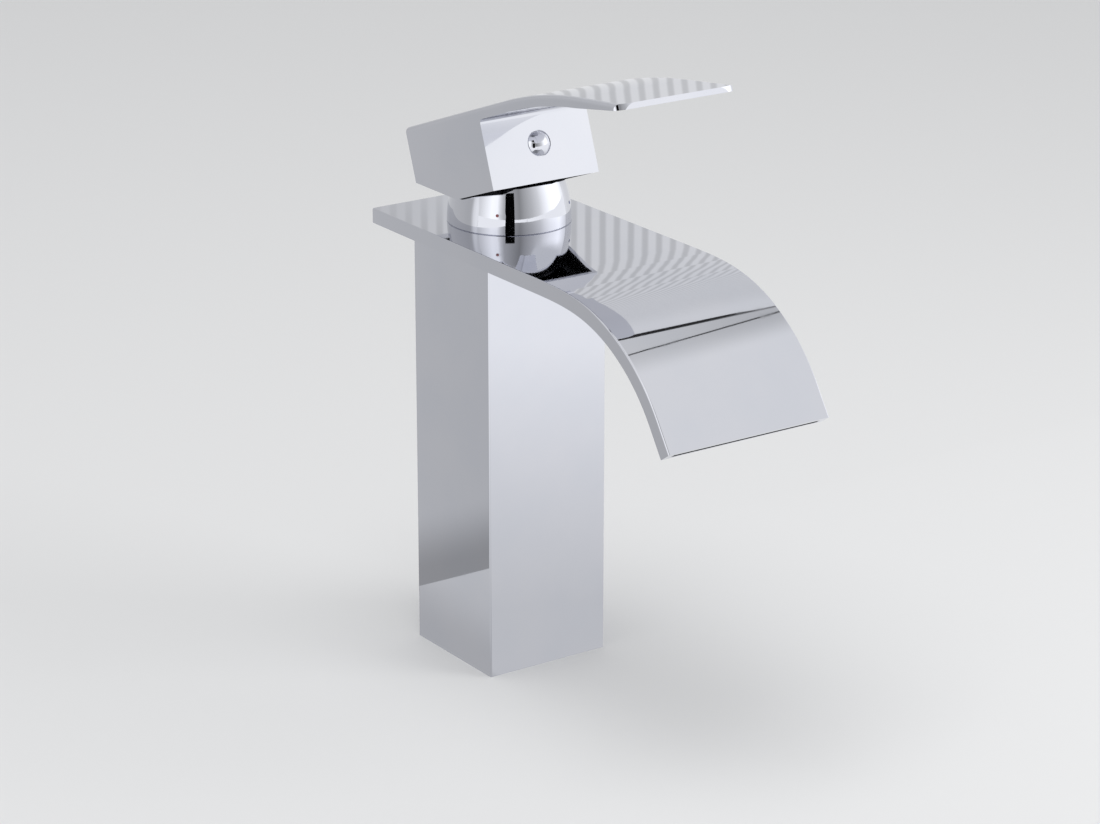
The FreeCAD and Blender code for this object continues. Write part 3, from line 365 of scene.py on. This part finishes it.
# %% Rubber
def moulded_rubber(name, dark, bloom_tone, pebble):
    """Dark rubber with a pale bloom in patches and a pebbled skin."""
    material, shader, place = start_finish(name)
    patches = noise(place, 90.0, 4.0).ramp(0.45, 0.75)
    pebbles = place.node("ShaderNodeTexVoronoi", {"feature": "SMOOTH_F1"},
                         {"Vector": place, "Scale": pebble})
    link_finish(
        shader,
        Base_Color=patches.mix(dark, bloom_tone),
        Roughness=0.55 + 0.25 * patches,
        Normal=bump(pebbles, 0.00006, 0.6),
    )
    return material


dress(moulded_rubber("black_rubber", (0.018, 0.018, 0.020), (0.060, 0.060, 0.062), 1400.0),
      "foot_gasket", "dome_ring", "port_seals", "rubber_washer")

# %% [markdown]
# ## Cast brass
# The blocks inside the column are cast and left raw. Sand casting leaves a skin of
# small grains, dull in the hollows and brighter where it has been handled, with brown
# tarnish in clouds.


# %% Cast brass
def raw_brass(name):
    """Cast brass: sandy grains, and tarnish in clouds."""
    material, shader, place = start_finish(name)
    tarnish = noise(place, 70.0, 5.0).ramp(0.42, 0.70)
    grains = noise(place, 1800.0, 3.0)
    link_finish(
        shader,
        Base_Color=tarnish.mix((0.72, 0.50, 0.20), (0.38, 0.24, 0.09)),
        Metallic=1.0,
        Roughness=0.34 + 0.22 * tarnish,
        Normal=bump(grains, 0.00008, 0.7),
    )
    return material


dress(raw_brass("cast_brass"), "foot_block", "valve_block")

# %% [markdown]
# ## Turned brass
# The nut that holds the cartridge comes off a lathe, so it is brighter than the castings
# and carries the tool's rings. They could be cut into the mesh, but they are far finer
# than a hair, so bands along the upright axis change the roughness and the bump.


# %% Turned brass
def machined_brass(name):
    """Turned brass: rings from the tool around the upright axis, hardly tarnished."""
    material, shader, place = start_finish(name)
    rings = place.node("ShaderNodeTexWave", {"bands_direction": "Z", "wave_profile": "TRI"},
                       {"Vector": place, "Scale": 620.0, "Distortion": 0.6, "Detail": 1.0})
    stain = noise(place, 110.0, 4.0).ramp(0.55, 0.8)
    link_finish(
        shader,
        Base_Color=stain.mix((0.80, 0.58, 0.25), (0.55, 0.36, 0.14)),
        Metallic=1.0,
        Roughness=0.20 + 0.10 * rings + 0.12 * stain,
        Normal=bump(rings, 0.00002, 0.5),
    )
    return material


dress(machined_brass("machined_brass"), "retaining_nut")

# %% [markdown]
# ## Copper pipe
# The two pipes in the column are drawn copper. Drawing leaves fine lines along the
# pipe, and soldering leaves a dark, purple-brown stain at both ends.


# %% Copper
SOLDERED_FROM = -0.012
SOLDERED_TO = 0.003


def drawn_copper(name, low, high):
    """Copper pipe with drawing lines along it and heat stains at its soldered ends."""
    material, shader, place = start_finish(name)
    from_middle = (place.part("Z") - (low + high) / 2).size()
    end = (high - low) / 2
    clouds = noise(place, 160.0, 4.0)
    heated = (from_middle + 0.008 * clouds).ramp(end + SOLDERED_FROM, end + SOLDERED_TO)
    lines = noise(place, 2600.0, 1.0, stretch=(1.0, 1.0, 0.02))
    link_finish(
        shader,
        Base_Color=heated.mix((0.83, 0.40, 0.24), (0.25, 0.10, 0.08)),
        Metallic=1.0,
        Roughness=0.16 + 0.12 * lines + 0.25 * heated,
        Normal=bump(lines, 0.00002, 0.5),
    )
    return material


pipe_low, pipe_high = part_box("hot_supply_pipe")
dress(drawn_copper("copper_pipe", pipe_low.z, pipe_high.z), "hot_supply_pipe", "cold_supply_pipe")

# %% [markdown]
# ## Cartridge parts
# The cartridge's base and housing are pale moulded acetal, the rotor and carrier are
# grey glass-filled plastic with short fibres that show as flecks, and the two discs
# are polished alumina, which is nearly a mirror on its working face.


# %% Plastics and ceramic
def moulded_plastic(name, tone, deep, fleck_scale, fleck_tone):
    """Moulded plastic: soft flow marks, and flecks of filler at a given scale."""
    material, shader, place = start_finish(name)
    flow = noise(place, 60.0, 2.0, stretch=(1.0, 1.0, 0.4)).ramp(0.35, 0.7)
    flecks = noise(place, fleck_scale, 1.0, stretch=(1.0, 0.25, 1.0)).ramp(0.68, 0.74)
    skin = noise(place, 1500.0, 2.0)
    link_finish(
        shader,
        Base_Color=flecks.mix(flow.mix(tone, deep), fleck_tone),
        Roughness=0.36 + 0.10 * flow,
        Normal=bump(skin, 0.00002, 0.5),
    )
    return material


def alumina(name):
    """Fired and lapped alumina: ivory, very smooth, with the faintest mottling."""
    material, shader, place = start_finish(name)
    mottle = noise(place, 420.0, 3.0)
    link_finish(
        shader,
        Base_Color=mottle.ramp(0.35, 0.7).mix((0.86, 0.84, 0.78), (0.80, 0.77, 0.70)),
        Roughness=0.10 + 0.10 * mottle,
        Coat_Weight=0.35,
    )
    return material


acetal = moulded_plastic("pale_acetal", (0.74, 0.74, 0.70), (0.66, 0.66, 0.62),
                         900.0, (0.70, 0.70, 0.66))
filled = moulded_plastic("filled_plastic", (0.16, 0.17, 0.18), (0.11, 0.12, 0.13),
                         1300.0, (0.30, 0.31, 0.32))
dress(acetal, "cartridge_base", "cartridge_housing")
dress(filled, "cartridge_rotor", "disc_carrier")
dress(alumina("alumina"), "fixed_ceramic_disc", "moving_ceramic_disc")

# %% [markdown]
# ## Steel
# Stem, pin, grub screw and washers are stainless steel, turned or stamped. Turned
# steel shows rings about its axis, and a stamped washer shows fine random scratches.


# %% Steel
def bright_steel(name, ring_scale, scratch):
    """Stainless steel with tool rings and short scratches."""
    material, shader, place = start_finish(name)
    rings = place.node("ShaderNodeTexWave", {"bands_direction": "Z"},
                       {"Vector": place, "Scale": ring_scale, "Distortion": 0.5})
    marks = noise(place, 900.0, 3.0, stretch=ALONG_X).ramp(0.55, 0.7)
    clouds = noise(place, 120.0, 3.0)
    link_finish(
        shader,
        Base_Color=clouds.ramp(0.3, 0.75).mix((0.60, 0.60, 0.58), (0.50, 0.50, 0.49)),
        Metallic=1.0,
        Roughness=0.20 + 0.08 * rings + scratch * marks,
        Normal=bump(0.6 * rings + 0.4 * marks, 0.000015, 0.6),
    )
    return material


dress(bright_steel("turned_steel", 700.0, 0.05), "stem", "pivot_pin", "set_screw")
dress(bright_steel("stamped_steel", 60.0, 0.18), "steel_washer", "clamp_nut", "clamp_stud")

# %% [markdown]
# ## Index dots
# The red and blue dots at the dome's front are small drops of enamel. Each is glossy,
# a little deeper in colour at its rim where the drop is thickest. A ring could be
# painted on a picture, but the distance from the dot's middle gives it without one.

# %% Enamel
ENAMEL_RIM = (0.0001, 0.0005)
DOT_TONES = {
    "hot_index_dot": ((0.45, 0.012, 0.018), (0.24, 0.006, 0.010)),
    "cold_index_dot": ((0.015, 0.07, 0.45), (0.008, 0.03, 0.26)),
}

for dot_name, (tone, deep) in DOT_TONES.items():
    dot_low, dot_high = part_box(dot_name)
    finish, shader, place = start_finish(dot_name + "_enamel")
    from_middle = place.minus((dot_low + dot_high) / 2).length()
    link_finish(
        shader,
        Base_Color=from_middle.ramp(*ENAMEL_RIM).mix(tone, deep),
        Roughness=0.14 + 0.08 * noise(place, 3000.0),
        Coat_Weight=0.8,
    )
    dress(finish, dot_name)

# %% [markdown]
# ## Turning and finishing new pieces
# Round pieces are drawn as half a section and spun about their axis, as on a lathe.
# The first and last section meet, so they are merged, and the normals are worked out
# again after that. A piece keeps its place in its mesh, with its object at the origin.


# %% Helpers for new pieces
def keep_piece(name, mesh, finish, body, stands_for, smooth_angle):
    """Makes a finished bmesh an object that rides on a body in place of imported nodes."""
    bmesh.ops.remove_doubles(mesh, verts=mesh.verts, dist=0.000002)
    bmesh.ops.recalc_face_normals(mesh, faces=mesh.faces)
    sharp = math.radians(smooth_angle)
    for edge in mesh.edges:
        edge.smooth = len(edge.link_faces) == 2 and edge.calc_face_angle() < sharp
    for face in mesh.faces:
        face.smooth = True
    data = bpy.data.meshes.new(name)
    mesh.to_mesh(data)
    mesh.free()
    data.materials.append(finish)
    piece = bpy.data.objects.new(name, data)
    bpy.context.scene.collection.objects.link(piece)
    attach(piece, body)
    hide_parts(*stands_for)
    print(f"{name}: {len(data.polygons)} faces on {body}")


def turned(section, steps):
    """Spins a closed half section, given as radius and height, about the upright axis."""
    mesh = bmesh.new()
    ring = [mesh.verts.new((r, 0.0, z)) for r, z in section]
    edges = [mesh.edges.new((a, b)) for a, b in zip(ring, ring[1:] + ring[:1])]
    bmesh.ops.spin(mesh, geom=ring + edges, cent=(0.0, 0.0, 0.0), axis=(0.0, 0.0, 1.0),
                   angle=math.tau, steps=steps, use_merge=True)
    return mesh


zinc_steel = bright_steel("zinc_steel", 60.0, 0.12)
print("new pieces are dressed in", zinc_steel.name)

# %% [markdown]
# ## The clamp's threaded stud
# The faucet is clamped down by an M8 stud. A plain rod with a bump map would look right
# from afar, but its outline would stay smooth, so the thread is cut for real: one V of
# the thread is spun many times about the axis while it climbs by the pitch each turn.
# The ends are then sliced flat and closed, and the lower end gets its lead-in cone.

# %% Threaded stud
STUD_PITCH = 0.00125
STUD_THREAD_DEPTH = 0.00068
STUD_LEAD_IN = 0.0009
STEPS_PER_TURN = 28

stud_low, stud_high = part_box("clamp_stud")
stud_radius = (stud_high.x - stud_low.x) / 2
stud_centre = Vector(((stud_low.x + stud_high.x) / 2, (stud_low.y + stud_high.y) / 2, 0.0))


def threaded_rod(radius, depth, pitch, low, high):
    """A screw thread between two heights about the upright axis at the origin."""
    mesh = bmesh.new()
    turns = math.ceil((high - low) / pitch) + 2
    start = low - pitch
    tooth = ((radius - depth, 0.06), (radius, 0.44), (radius, 0.56), (radius - depth, 0.94),
             (radius - depth, 1.06))
    section = [mesh.verts.new((r, 0.0, start + share * pitch)) for r, share in tooth]
    edges = [mesh.edges.new(pair) for pair in zip(section, section[1:])]
    bmesh.ops.spin(mesh, geom=section + edges, cent=(0.0, 0.0, 0.0), axis=(0.0, 0.0, 1.0),
                   dvec=(0.0, 0.0, pitch / STEPS_PER_TURN), angle=math.tau * turns,
                   steps=STEPS_PER_TURN * turns)
    bmesh.ops.remove_doubles(mesh, verts=mesh.verts, dist=pitch * 0.02)
    for height, way in ((low, -1.0), (high, 1.0)):
        bmesh.ops.bisect_plane(mesh, geom=mesh.verts[:] + mesh.edges[:] + mesh.faces[:],
                               plane_co=(0.0, 0.0, height), plane_no=(0.0, 0.0, way),
                               clear_outer=True)
    for vert in mesh.verts:
        reach = math.hypot(vert.co.x, vert.co.y)
        allowed = radius - max(0.0, STUD_LEAD_IN - (vert.co.z - low))
        if reach > allowed:
            vert.co.x *= allowed / reach
            vert.co.y *= allowed / reach
    bmesh.ops.holes_fill(mesh, edges=[e for e in mesh.edges if e.is_boundary], sides=0)
    return mesh


stud_mesh = threaded_rod(stud_radius, STUD_THREAD_DEPTH, STUD_PITCH, stud_low.z, stud_high.z)
bmesh.ops.translate(stud_mesh, verts=stud_mesh.verts, vec=stud_centre)
keep_piece("threaded_stud", stud_mesh, zinc_steel, "body", ["clamp_stud"], 50.0)

# %% [markdown]
# ## The clamp nut
# A hexagon nut is a turned blank with flats. Its corners are cut by a cone, which
# draws a shallow arch on each flat. The nut is spun as a round piece with enough
# steps, then each outer point slides out to the hexagon, and goes down by the cone's
# slope the further out it stays. That gives the arches without any cutting.

# %% Hexagon nut
NUT_CONE_SLOPE = math.tan(math.radians(30))
NUT_FACE_SHARE = 0.96
NUT_COUNTERSINK = 0.0005
NUT_STEPS = 96
HALF_FLAT = math.radians(30)

nut_low, nut_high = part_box("clamp_nut")
nut_middle = (nut_low.z + nut_high.z) / 2
half_flats = min(nut_high.x - nut_low.x, nut_high.y - nut_low.y) / 2
flats_along_x = (nut_high.x - nut_low.x) < (nut_high.y - nut_low.y)
face_radius = half_flats * NUT_FACE_SHARE
mouth_radius = stud_radius + NUT_COUNTERSINK
nut_mesh = turned([
    (stud_radius, nut_low.z + NUT_COUNTERSINK), (mouth_radius, nut_low.z),
    (face_radius, nut_low.z), (half_flats, nut_low.z), (half_flats, nut_high.z),
    (face_radius, nut_high.z), (mouth_radius, nut_high.z),
    (stud_radius, nut_high.z - NUT_COUNTERSINK),
], NUT_STEPS)
for vert in nut_mesh.verts:
    reach = math.hypot(vert.co.x, vert.co.y)
    if reach > half_flats * 0.99:
        turn = math.atan2(vert.co.y, vert.co.x) + (0.0 if flats_along_x else HALF_FLAT)
        from_flat = (turn + HALF_FLAT) % (2 * HALF_FLAT) - HALF_FLAT
        outer = half_flats / math.cos(from_flat)
        fall = (outer - face_radius) * NUT_CONE_SLOPE
        vert.co.x *= outer / reach
        vert.co.y *= outer / reach
        vert.co.z += fall if vert.co.z < nut_middle else -fall
bmesh.ops.translate(nut_mesh, verts=nut_mesh.verts, vec=stud_centre)
keep_piece("hexagon_nut", nut_mesh, zinc_steel, "body", ["clamp_nut"], 20.0)

# %% [markdown]
# ## Floor
# Chrome has no colour of its own, so what it reflects is half of its look. The camera
# sees a plain pale floor that takes the faucet's shadow. In the metal the same floor
# shows as a painted glow: painted shade keeps it dim near the foot and in a strip to
# the left of the foot, and it grows bright further out. Two floors could do it, but one
# with a Mix Shader that asks which kind of ray has come keeps them in one place.

# %% Floor
FLOOR_TONE = 0.72
FLOOR_RADIUS = 6.0
FLOOR_REACH = 0.60
FLOOR_TONES = [(0.0, 0.76), (0.07, 0.77), (0.126, 0.85), (0.239, 1.02), (0.359, 1.19), (0.60, 1.24)]
SHADE_START = (0.018, 0.024)
SHADE_THINS = (0.03, 0.06)
SHADE_END = (0.09, 0.16)
SHADE_DEEP = 0.26
SHADE_THIN = 0.10
COOL_WHITE = (0.97, 0.98, 1.0)

floor_mesh = bmesh.new()
bmesh.ops.create_circle(floor_mesh, cap_ends=True, radius=FLOOR_RADIUS, segments=96)
floor_data = bpy.data.meshes.new("studio_floor")
floor_mesh.to_mesh(floor_data)
floor_mesh.free()
floor = bpy.data.objects.new("studio_floor", floor_data)
bpy.context.scene.collection.objects.link(floor)

floor_paint, shader, place = start_finish("floor_paint")
link_finish(shader, Base_Color=(FLOOR_TONE,) * 3, Roughness=0.9, Specular_IOR_Level=0.1)
# Painted shade, seen only in the metal: the glow is dim near the foot and in a strip to the left of
# it.
left = 0.0 - place.part("X")
beside_foot = left.ramp(*SHADE_START) * (1.0 - left.ramp(*SHADE_END))
shade = beside_foot * left.ramp(*SHADE_THINS).between(SHADE_DEEP, SHADE_THIN)
level = place.length().table(FLOOR_TONES, (0.0, FLOOR_REACH)) * (1.0 - shade)
glow = place.node("ShaderNodeEmission", {}, {"Color": level.tinted(COOL_WHITE)})
seen_in_metal = place.node("ShaderNodeLightPath", output="Is Glossy Ray")
painted = Wire(place.tree, shader.outputs[0])
link_surface(place.node("ShaderNodeMixShader", {}, {0: seen_in_metal, 1: painted, 2: glow}))
floor_data.materials.append(floor_paint)
print(f"floor of {FLOOR_RADIUS:.0f} m radius")

# %% [markdown]
# ## Striped reflector
# A striped reflector stands close behind the faucet. The camera never sees it, and
# neither lights nor shadows come from it: it only shows in the metal, as soft upright
# stripes on the blade and the spout, and as a slow change across the column's side.
# It glows with painted tones, brighter towards its sides, with painted shade at its foot
# and a painted dark upper edge, which draws the upper of the two thin lines on the spout's
# bend. The stripes could be a bump in the chrome, but then they wouldn't slide over
# the curve as a reflection does.

# %% Striped reflector
REFLECTOR_Y = 0.058
REFLECTOR_WIDTH = 3.0
REFLECTOR_HEIGHT = 1.2
REFLECTOR_TONES = [
    (-0.50, 1.15), (-0.30, 1.02), (-0.26, 0.85), (-0.20, 0.58), (-0.143, 0.57), (-0.05, 0.63),
    (-0.005, 0.70), (0.03, 0.80), (0.20, 0.91), (0.60, 1.05),
]
TONES_REACH = (-0.60, 0.60)
UPPER_TONE = 0.90
UPPER_START = (0.20, 0.45)
FOOT_SHADE_SHARE = 0.62
FOOT_SHADE_END = (0.005, 0.028)
STRIPE_PITCH = 0.0061
STRIPE_DEPTH = 0.22
STRIPE_LOW_SHARE = 0.12
STRIPES_START = (0.145, 0.175)
STRIPES_END = (0.40, 0.75)
STRIPES_LEFT_END = (-0.036, -0.022)
STRIPE_SIDES = (0.05, 0.75)
EDGE_WIDTH = (0.22, 0.11)
EDGE_NARROWS = (0.60, 0.74)
EDGE_DARKNESS = (0.97, 0.67)
EDGE_PALES = (0.68, 0.80)
EDGE_SIDE = 0.01


def metal_only_card(name, width, height, place, turn):
    """An upright card on the floor that only shows in metal, facing a heading."""
    mesh = bmesh.new()
    bmesh.ops.create_grid(mesh, x_segments=1, y_segments=1, size=0.5)
    bmesh.ops.scale(mesh, verts=mesh.verts, vec=(width, height, 1.0))
    bmesh.ops.rotate(mesh, verts=mesh.verts, matrix=Matrix.Rotation(math.radians(90), 3, "X"))
    bmesh.ops.rotate(mesh, verts=mesh.verts, matrix=Matrix.Rotation(turn, 3, "Z"))
    bmesh.ops.translate(mesh, verts=mesh.verts, vec=(*place, height / 2))
    data = bpy.data.meshes.new(name)
    mesh.to_mesh(data)
    mesh.free()
    card = bpy.data.objects.new(name, data)
    bpy.context.scene.collection.objects.link(card)
    card.visible_camera = False
    card.visible_diffuse = False
    card.visible_shadow = False
    card.visible_transmission = False
    print(f"{name}: {width} x {height} m")
    return data


reflector_data = metal_only_card(
    "striped_reflector", REFLECTOR_WIDTH, REFLECTOR_HEIGHT, (0.0, REFLECTOR_Y), 0.0)
reflector_paint, shader, place = start_finish("reflector_paint")
place.tree.nodes.remove(shader)
across = place.part("X")
up = place.part("Z")
high = up.ramp(*UPPER_START)
level = across.table(REFLECTOR_TONES, TONES_REACH) * (1.0 - high) + UPPER_TONE * high
# Painted shade at the card's foot.
level = level * up.ramp(*FOOT_SHADE_END).between(FOOT_SHADE_SHARE, 1.0)
bands = (across * (math.tau / STRIPE_PITCH)).sine() * 0.5 + 0.5
depth = STRIPE_DEPTH * up.ramp(*STRIPES_START).between(STRIPE_LOW_SHARE, 1.0)
depth = depth * (1.0 - up.ramp(*STRIPES_END)) * across.ramp(*STRIPES_LEFT_END)
striped = 1.0 - depth * (1.0 - bands.ramp(*STRIPE_SIDES))
# Painted dark upper edge.
edge_width = across.ramp(*EDGE_NARROWS).between(*EDGE_WIDTH)
in_edge = (up + edge_width).ramp(REFLECTOR_HEIGHT - EDGE_SIDE, REFLECTOR_HEIGHT)
edge = across.ramp(*EDGE_PALES).between(*EDGE_DARKNESS) * in_edge
level = level * striped * (1.0 - edge)
link_surface(place.node("ShaderNodeEmission", {}, {"Color": level.tinted(COOL_WHITE)}))
reflector_data.materials.append(reflector_paint)

# %% [markdown]
# ## Black flag
# A narrow black flag stands in the camera's place. In polished curves it draws the one
# crisp dark line that makes metal look like metal, and a real studio has it as well,
# because the camera sees itself.

# %% Black flag
FLAG_DISTANCE = 1.05
FLAG_WIDTH = 0.31
FLAG_HEIGHT = 0.60
FLAG_HEADING = math.radians(32.5)
flag_place = (-FLAG_DISTANCE * math.sin(FLAG_HEADING), -FLAG_DISTANCE * math.cos(FLAG_HEADING))
flag_data = metal_only_card("black_flag", FLAG_WIDTH, FLAG_HEIGHT, flag_place, -FLAG_HEADING)
flag_paint, shader, _ = start_finish("flag_paint")
link_finish(shader, Base_Color=(0.002, 0.002, 0.002), Roughness=1.0, Specular_IOR_Level=0.0)
flag_data.materials.append(flag_paint)

# %% [markdown]
# ## World
# The world shows the camera a plain pale grey and lights the floor evenly. The metal
# gets a light tent instead: screens around the horizon whose tone changes with the
# heading, and a bright ceiling of two panels. The thin dark gap where the panels meet
# draws the lower line on the spout's bend. A picture of a studio could be wrapped
# around the scene, but a few tones and one seam are all that such simple faces show.

# %% World
SCREEN_TONES = [
    (-180.0, 1.00), (-157.0, 1.53), (-146.0, 1.46), (-140.0, 0.95), (-134.0, 0.62), (-104.0, 0.35),
    (-95.5, 0.50), (-80.0, 0.70), (-65.5, 0.95), (-56.5, 1.24), (-44.0, 1.55), (-20.0, 1.90),
    (5.5, 1.15), (55.0, 0.80), (95.0, 0.50), (133.0, 0.62), (169.0, 0.95), (180.0, 1.00),
]
CEILING_START = (0.36, 0.50)
CEILING_LIFT_LEFT = 0.34
LEFT_SIDE_END = (-0.10, 0.35)
CEILING_TONE = 0.98
SEAM_NORMAL = (-0.7522, 0.4024, 0.5219)
SEAM_SIDE = 0.003
FRONT_PANEL_START = (-0.115, 0.0)
FRONT_PANEL_SHADE = (0.22, 0.31)
REAR_PANEL_END = (0.08, 0.16)
REAR_PANEL_LEFT_END = (0.40, 0.50)
REAR_PANEL_SHADE = (0.19, 0.32)
PANELS_DARKEN = (0.555, 0.59)
PANELS_START = (0.60, 0.72)
GAP_DARKNESS = 0.97
GAP_SIDE = (0.0020, 0.0029)
GAP_START = (0.775, 0.785)
GAP_END = (0.84, 0.85)
GAP_LEFT_END = (0.48, 0.52)
ROOM_TONE = 0.70
ROOM_TINT = (0.975, 0.985, 1.0)

world = bpy.data.worlds.new("light_tent")
world.use_nodes = True
bpy.context.scene.world = world
sky = Wire(world.node_tree)
way = sky.node("ShaderNodeTexCoord", output="Generated")
way_x, way_y, way_z = (way.part(axis) for axis in "XYZ")
heading = way_y.turn_from(way_x) * (180.0 / math.pi)
screens = heading.table(SCREEN_TONES, (-180.0, 180.0))
on_the_left = 1.0 - way_x.ramp(*LEFT_SIDE_END)
ceiling = (way_z - CEILING_LIFT_LEFT * on_the_left).ramp(*CEILING_START)

from_seam = way.along(SEAM_NORMAL)
to_the_right = way_x.ramp(*PANELS_DARKEN)
behind_seam = from_seam.ramp(-SEAM_SIDE, SEAM_SIDE)
front_panel = (1.0 - behind_seam) * from_seam.ramp(*FRONT_PANEL_START)
front_panel = front_panel * to_the_right.between(*FRONT_PANEL_SHADE)
rear_panel = behind_seam * (1.0 - from_seam.ramp(*REAR_PANEL_END))
rear_panel = rear_panel * way_x.ramp(*REAR_PANEL_LEFT_END) * to_the_right.between(*REAR_PANEL_SHADE)
overhead = CEILING_TONE - (front_panel + rear_panel) * way_z.ramp(*PANELS_START)
gap = 1.0 - from_seam.size().ramp(*GAP_SIDE)
gap = gap * way_z.ramp(*GAP_START) * (1.0 - way_z.ramp(*GAP_END)) * way_x.ramp(*GAP_LEFT_END)
tent = screens * (1.0 - ceiling) + overhead * ceiling * (1.0 - GAP_DARKNESS * gap)

to_metal = sky.node("ShaderNodeLightPath", output="Is Glossy Ray")
to_camera = sky.node("ShaderNodeLightPath", output="Is Camera Ray")
elsewhere = to_camera * FLOOR_TONE + (1.0 - to_camera) * ROOM_TONE
level = to_metal * tent + (1.0 - to_metal) * elsewhere
link_finish(world.node_tree.nodes["Background"], Color=level.tinted(ROOM_TINT))
print("world with", len(SCREEN_TONES), "screen tones")

# %% [markdown]
# ## Lamps
# Two square lamps give the floor its soft shadow, one large above and one small at the
# front right. They would leave hard white squares in the chrome, so the metal is told
# not to show them, as a photographer hides lamps from a mirror.


# %% Lamps
LAMPS_LOOK_AT = Vector((0.0, 0.0, 0.08))


def softbox(name, place, size, watts):
    """A square area lamp that looks at the column and leaves no mark in the metal."""
    lamp = bpy.data.lights.new(name, "AREA")
    lamp.shape = "SQUARE"
    lamp.size = size
    lamp.energy = watts
    holder = bpy.data.objects.new(name, lamp)
    bpy.context.scene.collection.objects.link(holder)
    holder.location = place
    look = LAMPS_LOOK_AT - Vector(place)
    holder.rotation_euler = look.to_track_quat("-Z", "Y").to_euler()
    holder.visible_glossy = False
    holder.visible_camera = False
    print(f"{name}: {watts} W, {size} m")


softbox("softbox_top", (-0.3, -0.2, 1.8), 1.2, 12.0)
softbox("softbox_front_right", (0.45, -0.55, 0.5), 0.4, 1.5)

# %% [markdown]
# ## Closing
# The picture is made with the Standard view, so that a colour renders as it is
# written.

# %% Close
bpy.context.scene.view_settings.view_transform = "Standard"
